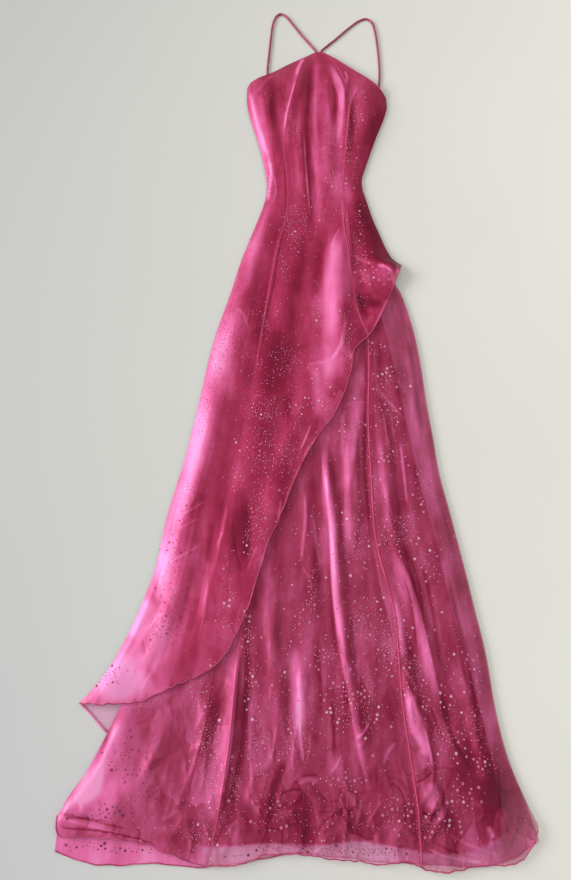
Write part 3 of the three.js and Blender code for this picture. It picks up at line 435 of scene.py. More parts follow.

# Foil motifs: a cluster's middle, half sizes and turn, how many, the share of stars and their tone, which lit or shaded
# copy of the one foil they take
Cluster = namedtuple("Cluster", "x y wide long turn count stars tone")
CLUSTERS = (
    # bodice
    Cluster(135, 1351, 13, 15, 0, 18, 0.3, "pale"),
    Cluster(125, 1291, 8, 35, 0, 22, 0.3, "pale"),
    Cluster(107, 1259, 6, 43, 0, 30, 0.1, "pale"),
    Cluster(112, 1188, 12, 64, 0, 40, 0.15, "pale"),
    Cluster(80, 1141, 23, 35, 0, 40, 0.25, "pale"),
    Cluster(-57, 1346, 12, 30, 0, 12, 0.1, "pale"),
    Cluster(-3, 1271, 13, 29, 0, 24, 0.05, "pale"),
    Cluster(67, 1235, 15, 24, 0, 16, 0.05, "pale"),
    # waist and hip
    Cluster(-4, 1041, 17, 44, -8, 80, 0.05, "pale"),
    Cluster(20, 1058, 6, 25, 0, 14, 0.1, "pale"),
    Cluster(-23, 964, 10, 34, -10, 30, 0.1, "pale"),
    Cluster(-51, 862, 5, 24, -6, 18, 0.0, "pale"),
    Cluster(-42, 1141, 8, 31, 0, 36, 0.0, "plum"),
    Cluster(116, 1019, 13, 59, 6, 50, 0.2, "pale"),
    Cluster(120, 968, 17, 25, 0, 30, 0.5, "pale"),
    Cluster(139, 941, 25, 19, 0, 24, 0.5, "pale"),
    Cluster(112, 890, 18, 16, 0, 14, 0.1, "pale"),
    Cluster(89, 815, 10, 36, 0, 80, 0.15, "pale"),
    Cluster(42, 874, 9, 40, 0, 30, 0.1, "pale"),
    # overlay
    Cluster(-8, 776, 27, 27, 0, 46, 0.0, "pale"),
    Cluster(-56, 680, 24, 23, 0, 80, 0.05, "pale"),
    Cluster(5, 680, 12, 36, 0, 40, 0.1, "pale"),
    Cluster(46, 711, 17, 38, 0, 44, 0.35, "pale"),
    Cluster(-55, 609, 35, 54, 0, 110, 0.08, "pale"),
    Cluster(-99, 569, 13, 20, 0, 24, 0.05, "pale"),
    Cluster(-15, 609, 19, 25, 0, 44, 0.05, "pale"),
    Cluster(-61, 502, 16, 45, 0, 80, 0.12, "pale"),
    Cluster(-76, 465, 10, 26, 0, 26, 0.2, "pale"),
    Cluster(-107, 368, 9, 66, 0, 44, 0.1, "pale"),
    # left side of the overlay, seen against the light
    Cluster(-123, 805, 16, 72, 8, 90, 0.0, "plum"),
    Cluster(-98, 914, 13, 32, 10, 34, 0.0, "plum"),
    Cluster(-82, 1009, 8, 44, 8, 20, 0.0, "plum"),
    Cluster(-150, 692, 10, 43, 8, 30, 0.0, "plum"),
    Cluster(-179, 535, 14, 48, 8, 34, 0.05, "plum"),
    Cluster(-187, 443, 14, 13, 0, 16, 0.3, "plum"),
    Cluster(-197, 326, 19, 14, 0, 60, 0.3, "plum"),
    Cluster(-184, 384, 27, 58, 0, 50, 0.05, "plum"),
    Cluster(-283, 257, 21, 17, 0, 34, 0.15, "plum"),
    # underskirt, upper right
    Cluster(143, 803, 12, 17, 0, 18, 0.4, "pale"),
    Cluster(161, 742, 22, 20, 0, 34, 0.5, "pale"),
    Cluster(155, 683, 22, 25, 0, 48, 0.45, "pale"),
    Cluster(84, 656, 24, 16, 0, 26, 0.35, "pale"),
    Cluster(166, 602, 24, 11, 0, 20, 0.3, "pale"),
    Cluster(125, 578, 5, 54, 0, 26, 0.1, "pale"),
    Cluster(164, 475, 24, 21, 0, 230, 0.3, "pale"),
    Cluster(91, 475, 16, 19, 0, 34, 0.3, "pale"),
    Cluster(203, 550, 11, 22, 0, 30, 0.35, "pale"),
    # knee
    Cluster(-74, 309, 6, 36, 0, 110, 0.25, "pale"),
    Cluster(-69, 248, 8, 25, 0, 34, 0.1, "pale"),
    Cluster(25, 388, 8, 30, 0, 70, 0.35, "pale"),
    Cluster(6, 335, 11, 17, 0, 22, 0.3, "pale"),
    Cluster(-9, 286, 6, 15, 0, 22, 0.3, "pale"),
    Cluster(44, 287, 14, 10, 0, 34, 0.3, "pale"),
    Cluster(74, 234, 12, 36, 0, 76, 0.5, "pale"),
    Cluster(97, 341, 19, 24, 0, 70, 0.2, "pale"),
    Cluster(96, 443, 19, 19, 0, 26, 0.4, "pale"),
    Cluster(104, 220, 20, 39, 0, 70, 0.35, "pale"),
    Cluster(139, 309, 14, 42, 0, 130, 0.25, "pale"),
    Cluster(162, 312, 10, 42, 0, 120, 0.25, "pale"),
    Cluster(177, 263, 18, 27, 0, 90, 0.3, "pale"),
    Cluster(193, 229, 10, 14, 0, 32, 0.4, "pale"),
    Cluster(212, 422, 19, 27, 0, 26, 0.2, "pale"),
    Cluster(219, 175, 24, 13, 0, 32, 0.2, "pale"),
    # above the hem
    Cluster(-10, 175, 8, 31, 0, 70, 0.15, "pale"),
    Cluster(-59, 162, 13, 26, 0, 60, 0.1, "pale"),
    Cluster(12, 166, 6, 29, 0, 26, 0.1, "pale"),
    Cluster(66, 204, 14, 17, 0, 50, 0.5, "pale"),
    Cluster(72, 116, 22, 8, 0, 34, 0.45, "pale"),
    Cluster(-93, 113, 8, 26, 0, 80, 0.3, "pale"),
    Cluster(-129, 149, 18, 78, -8, 150, 0.12, "pale"),
    Cluster(-137, 46, 24, 14, 0, 50, 0.1, "pale"),
    Cluster(191, 57, 28, 11, 0, 70, 0.5, "pale"),
    Cluster(146, 71, 18, 19, 0, 60, 0.45, "pale"),
    Cluster(236, 90, 18, 17, 0, 46, 0.4, "pale"),
    Cluster(273, 135, 18, 18, 0, 30, 0.35, "pale"),
    Cluster(267, 185, 15, 25, 0, 24, 0.2, "pale"),
    Cluster(-31, 77, 11, 17, 0, 24, 0.2, "pale"),
    # the foil in painted shade, dark against the pale layers of the hem and the corners
    Cluster(315, 71, 10, 13, 0, 30, 0.5, "wine"),
    Cluster(300, 113, 13, 26, 0, 34, 0.1, "wine"),
    Cluster(105, 25, 42, 5, 0, 80, 0.15, "wine"),
    Cluster(46, 28, 28, 6, 0, 30, 0.2, "wine"),
    Cluster(-17, 30, 42, 4, 0, 20, 0.1, "wine"),
    Cluster(-82, 20, 18, 2, 0, 10, 0.3, "wine"),
    Cluster(-286, 69, 36, 4, 0, 46, 0.3, "wine"),
    Cluster(-266, 77, 17, 8, 0, 20, 0.6, "wine"),
    Cluster(-245, 142, 27, 36, 0, 40, 0.25, "plum"),
    Cluster(-210, 103, 28, 23, 0, 26, 0.35, "plum"),
    Cluster(-296, 30, 28, 4, 0, 18, 0.6, "wine"),
    Cluster(-234, 25, 31, 4, 0, 20, 0.2, "wine"),
    Cluster(-225, 212, 27, 10, 0, 30, 0.1, "plum"),
    # thinly everywhere between the clusters
    Cluster(-60, 760, 70, 330, -12, 200, 0.02, "pale"),
    Cluster(60, 1150, 70, 240, 0, 110, 0.05, "pale"),
    Cluster(-100, 600, 60, 400, -14, 140, 0.02, "plum"),
    Cluster(110, 420, 110, 330, 8, 260, 0.15, "pale"),
    Cluster(-20, 200, 110, 160, 0, 120, 0.05, "pale"),
    Cluster(230, 200, 60, 160, 14, 110, 0.25, "pale"),
    Cluster(0, 60, 240, 50, 0, 120, 0.1, "pale"),
)


def smooth_step(t):
    t = np.clip(t, 0.0, 1.0)
    return t * t * (3 - 2 * t)


def through(points, shares):
    """Points on a smooth curve through the given ones, at shares of its length or a number of equal steps."""
    points = np.asarray(points, float)
    shares = np.linspace(0, 1, shares) if isinstance(shares, int) else shares
    if len(points) == 2:
        t = shares[:, None]
        return points[0] * (1 - t) + points[1] * t
    chords = np.maximum(np.linalg.norm(np.diff(points, axis=0), axis=1), 1e-9)
    knots = np.concatenate(([0], np.cumsum(np.sqrt(chords))))
    slopes = np.gradient(points, knots, axis=0)
    steps = np.diff(knots)[:, None]
    dense = []
    for t in np.linspace(0, 1, 9)[:-1]:
        h00, h10 = 2 * t**3 - 3 * t**2 + 1, t**3 - 2 * t**2 + t
        h01, h11 = 3 * t**2 - 2 * t**3, t**3 - t**2
        dense.append(h00 * points[:-1] + h10 * steps * slopes[:-1] + h01 * points[1:] + h11 * steps * slopes[1:])
    dense = np.concatenate((np.stack(dense, 1).reshape(-1, points.shape[1]), points[-1:]))
    walked = np.concatenate(([0], np.cumsum(np.linalg.norm(np.diff(dense, axis=0), axis=1))))
    wanted = walked[-1] * shares
    return np.stack([np.interp(wanted, walked, dense[:, k]) for k in range(points.shape[1])], 1)


def nearest_on(path, x, y):
    """Signed distance to a path (positive to the right of one that runs down), place along it, length."""
    best = np.full(x.shape, np.inf)
    signed = np.zeros(x.shape)
    along = np.zeros(x.shape)
    walked = 0.0
    for (ax, ay), (bx, by) in zip(path[:-1], path[1:]):
        dx, dy = bx - ax, by - ay
        length = math.hypot(dx, dy)
        t = np.clip(((x - ax) * dx + (y - ay) * dy) / (length * length), 0, 1)
        distance = np.hypot(x - ax - dx * t, y - ay - dy * t)
        closer = distance < best
        side = np.where(dx * (y - ay) - dy * (x - ax) >= 0, 1.0, -1.0)
        best = np.where(closer, distance, best)
        signed = np.where(closer, distance * side, signed)
        along = np.where(closer, walked + length * t, along)
        walked += length
    return signed, along, walked


def crease_field(creases, x, y):
    """Height in millimetres that the creases add."""
    total = np.zeros(x.shape)
    for crease in creases:
        path = through(crease.path, 4 * len(crease.path))
        signed, along, length = nearest_on(path, x, y)
        reach = np.where(signed < 0, crease.left, crease.right)
        inward = 1 - np.clip(np.abs(signed) / reach, 0, 1)
        crisp = min(1.0, crease.sharp - 1.0)
        across = (1 - crisp) * smooth_step(inward) + crisp * inward**1.5
        ends = smooth_step(np.minimum(along, length - along) / (CREASE_TAPER * length))
        uneven = 0.8 + 0.2 * np.sin(along / CREASE_BEAT + crease.path[0][0])
        total += crease.high * across * ends * uneven
    return total


def stroke_field(strokes, x, y, narrowest=0.0):
    """Tone of the strokes at each point, with flanks of at least the narrowest width."""
    total = np.zeros(x.shape)
    for stroke in strokes:
        path = through(stroke.path, 5 * len(stroke.path))
        left, right = max(stroke.left, narrowest), max(stroke.right, narrowest)
        reach = max(left, right)
        near = (x > path[:, 0].min() - reach) & (x < path[:, 0].max() + reach)
        near &= (y > path[:, 1].min() - reach) & (y < path[:, 1].max() + reach)
        if not near.any():
            continue
        signed, along, length = nearest_on(path, x[near], y[near])
        flank = smooth_step(1 - np.abs(signed) / np.where(signed < 0, left, right))
        ends = smooth_step(np.minimum(along, length - along) / (STROKE_ENDS * length) + 0.1)
        total[near] += stroke.tone * flank * ends
    return total


# The soft tone spots: painted shade and painted highlights, summed at each point
def tone_field(x, y):
    total = np.zeros(x.shape)
    for tone in TONES:
        turn = math.radians(tone.turn)
        dx, dy = x - tone.x, y - tone.y
        across = dx * math.cos(turn) - dy * math.sin(turn)
        lengthwise = dx * math.sin(turn) + dy * math.cos(turn)
        total += tone.amount * np.exp(-((across / tone.wide) ** 2) - (lengthwise / tone.long) ** 2)
    return total


STEEPEST = 0.05


def solid_of(node):
    """The node's merged mesh, as a bmesh."""
    form = bmesh.new()
    form.from_mesh(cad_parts[node].data)
    bmesh.ops.remove_doubles(form, verts=form.verts, dist=1e-6)
    bmesh.ops.recalc_face_normals(form, faces=form.faces)
    return form


def upper_outline(form, start_at):
    """The loop around the solid's upper face from a given place, anticlockwise seen from above."""
    upward = {f for f in form.faces if f.normal.z > STEEPEST}
    nexts = {}
    for edge in form.edges:
        faces = [f for f in edge.link_faces if f in upward]
        if len(faces) == 1:
            for loop in faces[0].loops:
                if loop.edge == edge:
                    nexts[loop.vert] = loop.link_loop_next.vert
    start = min(nexts, key=lambda vert: math.hypot(vert.co.x - start_at[0], vert.co.y - start_at[1]))
    outline, vert = [start], nexts[start]
    while vert != start and len(outline) <= len(nexts):
        outline.append(vert)
        vert = nexts[vert]
    return np.array([v.co[:] for v in outline])


def sides_of(panel, form):
    """The four sides of the panel's upper face, the side ones from top to bottom, the others to the right."""
    outline = upper_outline(form, at(*panel.corners[0]))
    picks = []
    for corner in panel.corners:
        x, y = at(*corner)
        picks.append(int(np.argmin(np.hypot(outline[:, 0] - x, outline[:, 1] - y))))
    rolled = np.roll(outline, -picks[0], axis=0)
    low_left, low_right, top_right = [(p - picks[0]) % len(outline) for p in picks[1:]]
    closed = np.concatenate((rolled, rolled[:1]))
    left, bottom = closed[: low_left + 1], closed[low_left : low_right + 1]
    right, top = closed[low_right : top_right + 1][::-1], closed[top_right:][::-1]
    return left, bottom, right, top


def blurred(z, passes):
    """The grid smoothed along both ways, with its rim kept."""
    for across, down in passes:
        inner = z[1:-1, 1:-1]
        if across:
            inner = 0.25 * (z[1:-1, :-2] + z[1:-1, 2:]) + 0.5 * z[1:-1, 1:-1]
        if down:
            inner = 0.5 * inner + 0.25 * (z[:-2, 1:-1] + z[2:, 1:-1])
        z = z.copy()
        z[1:-1, 1:-1] = inner
    return z


# Power with which the rows of a panel lose the shape of its top and bottom edges
END_FADE = 6
# How much closer together the underskirt's rows are at its hem than at its top
CLOSER_ROWS = 0.6


class Cloth:
    """One panel as a grid of points on its solid's form: rows run down it, columns across it."""

    def __init__(self, name):
        self.panel = PANELS[name]
        form = solid_of(name)
        left, bottom, right, top = sides_of(self.panel, form)
        down, across = self.panel.down + 1, self.panel.across + 1
        closer = CLOSER_ROWS if name in UNDERSKIRT else 0.0
        shares = np.linspace(0, 1, down) * (1 + closer) - np.linspace(0, 1, down) ** 2 * closer
        left, right = through(left, shares), through(right, shares)
        top, bottom = through(top, np.linspace(0, 1, across)), through(bottom, np.linspace(0, 1, across))
        u = np.linspace(0, 1, across)[:, None]
        v = shares[:, None, None]
        grid = (1 - u) * left[:, None] + u * right[:, None]
        grid = grid + (1 - v) ** END_FADE * (top - (1 - u) * left[0] - u * right[0])
        grid = grid + v**END_FADE * (bottom - (1 - u) * left[-1] - u * right[-1])
        tree = BVHTree.FromBMesh(form)
        down_way = Vector((0, 0, -1))
        for j in range(1, down - 1):
            for i in range(1, across - 1):
                hit = tree.ray_cast(Vector((grid[j, i, 0], grid[j, i, 1], 0.2)), down_way)[0]
                if hit is not None:
                    grid[j, i, 2] = hit.z
        form.free()
        grid[:, :, 2] = blurred(grid[:, :, 2], [(True, True)] * 14)
        self.grid = grid
        self.x = (grid[:, :, 0] - MIDDLE_X) / MM
        self.y = (grid[:, :, 1] - HEM_Y) / MM
        self.attributes = {}

    @property
    def left(self):
        return self.grid[:, 0]

    @property
    def right(self):
        return self.grid[:, -1]

    @property
    def top(self):
        return self.grid[0]

    @property
    def bottom(self):
        return self.grid[-1]

    def lift(self, height, floor):
        """Adds height in millimetres, and keeps the cloth softly above its floor in millimetres."""
        z = self.grid[:, :, 2] / MM + height
        above = z - floor
        self.grid[:, :, 2] = (floor + np.where(above > 2, above, 2 * np.exp((above - 2) / 2))) * MM

    def lit_tone(self):
        """Painted light and shade: brighter where the cloth faces the window at the left, darker where it faces away,
        and a little brighter where it lies at the left.
        """
        z = blurred(self.grid[:, :, 2], [(True, True)] * 2)
        across = np.gradient(self.grid[:, :, 0], axis=1)
        rise = np.gradient(z, axis=1) / np.maximum(across, 1e-5)
        return np.clip(LIT_GAIN * rise, -0.7, 0.8) + LEFT_GLOW * smooth_step((-self.x - 40) / 200)

    def from_side(self, side):
        """Distance in millimetres from one side of the panel."""
        edge = self.left if side == "left" else self.right
        return np.hypot(self.grid[:, :, 0] - edge[:, None, 0], self.grid[:, :, 1] - edge[:, None, 1]) / MM

    def build(self, name, thickness=0.0):
        down, across = self.x.shape
        mesh = bpy.data.meshes.new(name)
        index = np.arange(down * across).reshape(down, across)
        quads = np.stack((index[:-1, :-1], index[1:, :-1], index[1:, 1:], index[:-1, 1:]), -1).reshape(-1, 4)
        mesh.from_pydata(self.grid.reshape(-1, 3).tolist(), [], quads.tolist())
        widths = np.concatenate((np.zeros((down, 1)), np.cumsum(np.hypot(*np.diff(self.grid[:, :, :2], axis=1).transpose(2, 0, 1)), 1)), 1)
        lengths = np.concatenate((np.zeros((1, across)), np.cumsum(np.hypot(*np.diff(self.grid[:, :, :2], axis=0).transpose(2, 0, 1)), 0)), 0)
        corners = quads.reshape(-1)
        uv = mesh.uv_layers.new(name="cloth")
        uv.data.foreach_set("uv", np.stack((widths.reshape(-1)[corners], lengths.reshape(-1)[corners]), -1).reshape(-1))
        for key, values in self.attributes.items():
            layer = mesh.attributes.new(key, "FLOAT", "POINT")
            layer.data.foreach_set("value", np.ascontiguousarray(values, dtype=np.float32).reshape(-1))
        mesh.shade_smooth()
        piece = bpy.data.objects.new(name, mesh)
        bpy.context.scene.collection.objects.link(piece)
        if thickness:
            wall = piece.modifiers.new("wall", "SOLIDIFY")
            wall.thickness = thickness
            wall.offset = -1
        return piece


def chained(*rows):
    """Rows of points joined end to end."""
    return np.concatenate([row if k == 0 else row[1:] for k, row in enumerate(rows)])


def inside_distance(outline, x, y):
    """Distance inside a closed outline, negative outside it."""
    path = [tuple(p) for p in outline] + [tuple(outline[0])]
    signed, _, _ = nearest_on(path, x, y)
    crossings = np.zeros(x.shape, bool)
    for (ax, ay), (bx, by) in zip(path[:-1], path[1:]):
        spans = (ay > y) != (by > y)
        crossings ^= spans & (x < (bx - ax) * (y - ay) / (by - ay + 1e-12) + ax)
    return np.where(crossings, np.abs(signed), -np.abs(signed))


def ripples(cloth, count, height, seed, wander=0.25):
    """Fine folds that run down a panel and come and go."""
    draw = random.Random(seed)
    down, across = cloth.x.shape
    u = np.linspace(0, 1, across)[None, :]
    v = np.linspace(0, 1, down)[:, None]
    total = np.zeros((down, across))
    for _ in range(count):
        middle, reach = draw.uniform(0.02, 0.98), draw.uniform(0.010, 0.035)
        start, length = draw.uniform(-0.1, 0.85), draw.uniform(0.12, 0.45)
        bend, phase = draw.uniform(-wander, wander) * 0.3, draw.uniform(0, 6.28)
        line = middle + bend * (v - start) + 0.012 * np.sin(9 * v + phase)
        across_part = np.exp(-(((u - line) / reach) ** 2))
        lengthwise = smooth_step(1 - np.abs(v - start - length / 2) / (length / 2))
        total += draw.choice((1, 1, -0.8)) * draw.uniform(0.4, 1.0) * across_part * lengthwise
    return height * total


def crumple(cloth, size, seed):
    """Crisp crests in all directions with round hollows between them, from -1 to 1; size in millimetres."""
    down, across = cloth.x.shape
    total = np.zeros((down, across))
    for j in range(down):
        for i in range(across):
            place = Vector((cloth.x[j, i] / size, cloth.y[j, i] / (1.35 * size), seed))
            bend = noise.noise(place * 0.6)
            place += Vector((0.5 * bend, -0.4 * bend, 0))
            broad = (1 - min(1.0, 2.0 * abs(noise.noise(place)))) ** 1.6
            small = (1 - min(1.0, 2.0 * abs(noise.noise(place * 2.3)))) ** 1.6
            total[j, i] = broad + 0.4 * small
    return total - 0.55


# Small uneven waves along the hems: how far up they reach, their size, their sway and their rise
FRILL_REACH, FRILL_SIZE, FRILL_SWAY, FRILL_RISE = 16, 11, 2.8, 1.6


def frill(cloth):
    near = smooth_step(1 - np.linalg.norm(cloth.grid - cloth.bottom, axis=2) / (FRILL_REACH * MM))
    for j, i in np.argwhere(near > 0):
        way = noise.noise_vector(Vector((cloth.x[j, i], cloth.y[j, i], 0)) / FRILL_SIZE)
        sway = (FRILL_SWAY * way.x, FRILL_SWAY * way.y, FRILL_RISE * abs(way.z))
        cloth.grid[j, i] += near[j, i] * MM * np.array(sway)


clothes = {name: Cloth(name) for name in PANELS}
for name in (*UNDERSKIRT, "back_underskirt", "front_left", "front_centre"):
    frill(clothes[name])


def outline_mm(cloth):
    """The panel's outline in the tables' millimetres."""
    loop = np.concatenate((cloth.left, cloth.bottom[1:], cloth.right[::-1][1:], cloth.top[::-1][1:-1]))
    return np.stack(((loop[:, 0] - MIDDLE_X) / MM, (loop[:, 1] - HEM_Y) / MM), 1)


def in_tables(points):
    return np.stack(((points[:, 0] - MIDDLE_X) / MM, (points[:, 1] - HEM_Y) / MM), 1)


overlay_hem = in_tables(chained(*(clothes[n].bottom for n in OVERLAY)))[::12]
lining_outline = outline_mm(clothes["lining_front"])[::8]
front_fade = {
    "front_left": lambda c: smooth_step(c.from_side("left") / 16),
    "front_right": lambda c: smooth_step(c.from_side("right") / 16),
}

def ripple_share(cloth):
    """Fine folds are slight on the bodice and stronger towards the hem."""
    return 0.05 + 0.3 * smooth_step((700 - cloth.y) / 400)


def overlay_crinkle(cloth):
    """Where the overlay is finely crinkled: beside its diagonal hem."""
    signed, _, _ = nearest_on([tuple(p) for p in overlay_hem], cloth.x, cloth.y)
    return smooth_step(1 - np.abs(signed) / 60) * smooth_step((cloth.x + 190) / 80)


# Painted highlight along the overlay's left edge, where it faces the window: how much, and how far in millimetres, on
# the bodice and on the skirt
Glow = namedtuple("Glow", "amount reach")
BODICE_GLOW, SKIRT_GLOW = Glow(0.1, 8), Glow(0.27, 40)

# Overlay and bodice: creases fade at the side edges, and fine folds run with the grain
OVERLAY_FLOOR = 8.0
OVERLAY_DEPTH = 0.4
for n, name in enumerate(OVERLAY):
    cloth = clothes[name]
    fade = front_fade.get(name, lambda c: 1.0)(cloth)
    height = OVERLAY_DEPTH * crease_field(OVERLAY_CREASES, cloth.x, cloth.y)
    height += STROKE_RISE * stroke_field(OVERLAY_STROKES, cloth.x, cloth.y, STROKE_SOFT)
    height += ripples(cloth, 46, 1.0, 11 + n) * ripple_share(cloth)
    floor = np.minimum(OVERLAY_FLOOR, cloth.grid[:, :, 2] / MM)
    cloth.lift(height * fade, floor)
    # The tone carries painted light and shade: the tone spots, the slope towards the window and the strokes
    cloth.attributes["tone"] = tone_field(cloth.x, cloth.y) + cloth.lit_tone()
    cloth.attributes["tone"] += stroke_field(OVERLAY_STROKES, cloth.x, cloth.y)
    cloth.attributes["crinkle"] = overlay_crinkle(cloth)
    hem_near = (1 - np.linspace(0, 1, cloth.x.shape[0]))[:, None] * np.ones_like(cloth.x)
    cloth.attributes["cover"] = smooth_step(0.25 + hem_near * 14)
    cloth.attributes["moire"] = smooth_step((-cloth.x - 60 - 0.1 * cloth.y) / 60)
    if name == "front_left":
        # painted highlight along the left edge, wider and stronger down on the skirt
        on_skirt = smooth_step((1020 - cloth.y) / 260)
        reach = BODICE_GLOW.reach + (SKIRT_GLOW.reach - BODICE_GLOW.reach) * on_skirt
        amount = BODICE_GLOW.amount + (SKIRT_GLOW.amount - BODICE_GLOW.amount) * on_skirt
        cloth.attributes["tone"] += amount * np.exp(-((cloth.from_side("left") / reach) ** 2))
    seam = np.full(cloth.x.shape, 99.0)
    if name != "front_left":
        seam = np.minimum(seam, cloth.from_side("left"))
    if name != "front_right":
        seam = np.minimum(seam, cloth.from_side("right"))
    cloth.attributes["seam"] = seam

def cover_beside_band(cloth):
    """How closely the organza's layers cover where the lining ends: full left, sheer at the band, dim right."""
    left = smooth_step((BAND_LEFT - cloth.x) / 40)
    right = smooth_step((cloth.x - BAND_RIGHT) / 50) * STRIP_COVER
    return left + right + smooth_step((cloth.y - 60) / 60) * STRIP_COVER * (1 - left) * (1 - right)


# Underskirt: flat under the overlay, creased where it shows, sheer past the lining
SKIRT_FLOOR = 6.4
SKIRT_DEPTH = 0.35
CRUMPLE_HEIGHT = 1.7
CRUMPLE_SIZE = 30
BAND_LEFT, BAND_RIGHT = -118, 112
STRIP_COVER = 0.25
BAND_TONE = 1.35
for n, name in enumerate(UNDERSKIRT):
    cloth = clothes[name]
    signed, _, _ = nearest_on([tuple(p) for p in overlay_hem], cloth.x, cloth.y)
    shows = smooth_step((-signed - 2) / 22)
    height = SKIRT_DEPTH * crease_field(SKIRT_CREASES, cloth.x, cloth.y) + ripples(cloth, 60, 0.25, 31 + n)
    height += STROKE_RISE * stroke_field(SKIRT_STROKES, cloth.x, cloth.y, STROKE_SOFT)
    bunched = 0.22 + 0.5 * smooth_step((360 - cloth.y) / 160) + 0.6 * smooth_step((150 - cloth.y) / 70)
    bunched *= 0.12 + 0.88 * smooth_step((cloth.x + 0.35 * cloth.y + 190) / 40)
    height += CRUMPLE_HEIGHT * bunched * crumple(cloth, CRUMPLE_SIZE, 3.7)
    fade = shows
    if name == "underskirt_left":
        fade = fade * smooth_step(cloth.from_side("left") / 14)
    if name == "underskirt_right":
        fade = fade * smooth_step(cloth.from_side("right") / 14)
    floor = np.minimum(SKIRT_FLOOR, cloth.grid[:, :, 2] / MM)
    cloth.lift(height * fade, floor)
    # The tone carries painted light and shade: the tone spots, the slope towards the window and the strokes
    cloth.attributes["tone"] = tone_field(cloth.x, cloth.y) + cloth.lit_tone()
    cloth.attributes["tone"] += stroke_field(SKIRT_STROKES, cloth.x, cloth.y)
    cloth.attributes["crinkle"] = bunched
    if name == "underskirt_right":
        # painted shade towards the right side of the right underskirt
        cloth.attributes["tone"] -= EDGE_SHADE * np.exp(-((cloth.from_side("right") / SHADE_REACH) ** 2))
    inside = inside_distance(lining_outline, cloth.x, cloth.y)
    soft = np.where(cloth.x < -150, 30.0, 5.0)
    cloth.attributes["moire"] = smooth_step((-cloth.x - 140) / 40)
    covered = smooth_step((inside + 0.5 * soft) / soft)
    cloth.attributes["cover"] = np.maximum(covered, cover_beside_band(cloth))
    at_right = smooth_step((cloth.x - BAND_RIGHT) / 80)
    cloth.attributes["tone"] += BAND_TONE * (1 - cloth.attributes["cover"]) * (1 - 0.25 * at_right)
    seam = np.full(cloth.x.shape, 99.0)
    if name != "underskirt_left":
        seam = np.minimum(seam, cloth.from_side("left"))
    if name != "underskirt_right":
        seam = np.minimum(seam, cloth.from_side("right"))
    cloth.attributes["seam"] = seam

for name in ("back_left", "back_right", "back_underskirt", "lining_front"):
    cloth = clothes[name]
    cloth.attributes["tone"] = np.zeros(cloth.x.shape)
    cloth.attributes["cover"] = np.zeros(cloth.x.shape)
    cloth.attributes["seam"] = np.full(cloth.x.shape, 99.0)
    cloth.attributes["moire"] = np.zeros(cloth.x.shape)
    cloth.attributes["crinkle"] = np.zeros(cloth.x.shape)
clothes["back_underskirt"].attributes["cover"] = cover_beside_band(clothes["back_underskirt"])
clothes["back_underskirt"].attributes["tone"] = 0.6 + 0.3 * smooth_step((BAND_RIGHT - clothes["back_underskirt"].x) / 120)
for name in ("back_left", "back_right"):
    clothes[name].attributes["tone"] += 1.4


# Materials
class Nodes:
    """A material's node tree, built from short calls."""

    def __init__(self, name):
        self.material = bpy.data.materials.new(name)
        self.material.use_nodes = True
        self.tree = self.material.node_tree
        self.shader = self.tree.nodes["Principled BSDF"]

    def add(self, kind, **values):
        node = self.tree.nodes.new("ShaderNode" + kind)
        for key, value in values.items():
            setattr(node, key, value)
        return node

    def link(self, source, target):
        self.tree.links.new(source, target)

    def set(self, **values):
        for key, value in values.items():
            self.shader.inputs[key.replace("_", " ")].default_value = value

    def value_noise(self, vector, scale, detail=3.0, roughness=0.5):
        node = self.add("TexNoise")
        node.inputs["Scale"].default_value = scale
        node.inputs["Detail"].default_value = detail
        node.inputs["Roughness"].default_value = roughness
        self.link(vector, node.inputs["Vector"])
        return node.outputs["Fac"]

    def facets(self, vector, across, along, bend):
        """Distance to the nearest edge between bent facets, and a number from 0 to 1 for each facet."""
        place = self.stretched(vector, across, along)
        noise_node = self.add("TexNoise")
        noise_node.inputs["Scale"].default_value = 0.8
        self.link(place, noise_node.inputs["Vector"])
        moved = self.add("VectorMath", operation="SCALE")
        moved.inputs["Scale"].default_value = bend
        self.link(noise_node.outputs["Color"], moved.inputs[0])
        bent = self.add("VectorMath", operation="ADD")
        self.link(place, bent.inputs[0])
        self.link(moved.outputs[0], bent.inputs[1])
        edges = self.add("TexVoronoi", feature="DISTANCE_TO_EDGE")
        cells = self.add("TexVoronoi", feature="F1")
        for node in (edges, cells):
            node.inputs["Scale"].default_value = 1.0
            self.link(bent.outputs[0], node.inputs["Vector"])
        split = self.add("SeparateColor")
        self.link(cells.outputs["Color"], split.inputs[0])
        return edges.outputs["Distance"], split.outputs[0]

    def stretched(self, vector, across, along):
        node = self.add("Mapping")
        node.inputs["Scale"].default_value = (across, along, 1.0)
        self.link(vector, node.inputs["Vector"])
        return node.outputs["Vector"]

    def span(self, value, low, high, to_low, to_high):
        node = self.add("MapRange")
        for key, number in zip(("From Min", "From Max", "To Min", "To Max"), (low, high, to_low, to_high)):
            node.inputs[key].default_value = number
        self.link(value, node.inputs["Value"])
        return node.outputs["Result"]

    def mixed(self, share, first, second):
        node = self.add("Mix", data_type="RGBA")
        self.link(share, node.inputs[0])
        for socket, colour in ((node.inputs[6], first), (node.inputs[7], second)):
            if isinstance(colour, tuple):
                socket.default_value = (*colour, 1.0)
            else:
                self.link(colour, socket)
        return node.outputs[2]

    def maths(self, operation, first, second):
        node = self.add("Math", operation=operation)
        for socket, value in zip(node.inputs, (first, second)):
            if isinstance(value, (int, float)):
                socket.default_value = value
            else:
                self.link(value, socket)
        return node.outputs[0]

    def attribute(self, name):
        return self.add("Attribute", attribute_name=name).outputs["Fac"]

    def bump(self, height, strength, distance, after=None):
        node = self.add("Bump")
        node.inputs["Strength"].default_value = strength
        node.inputs["Distance"].default_value = distance
        self.link(height, node.inputs["Height"])
        if after is not None:
            self.link(after, node.inputs["Normal"])
        return node.outputs["Normal"]


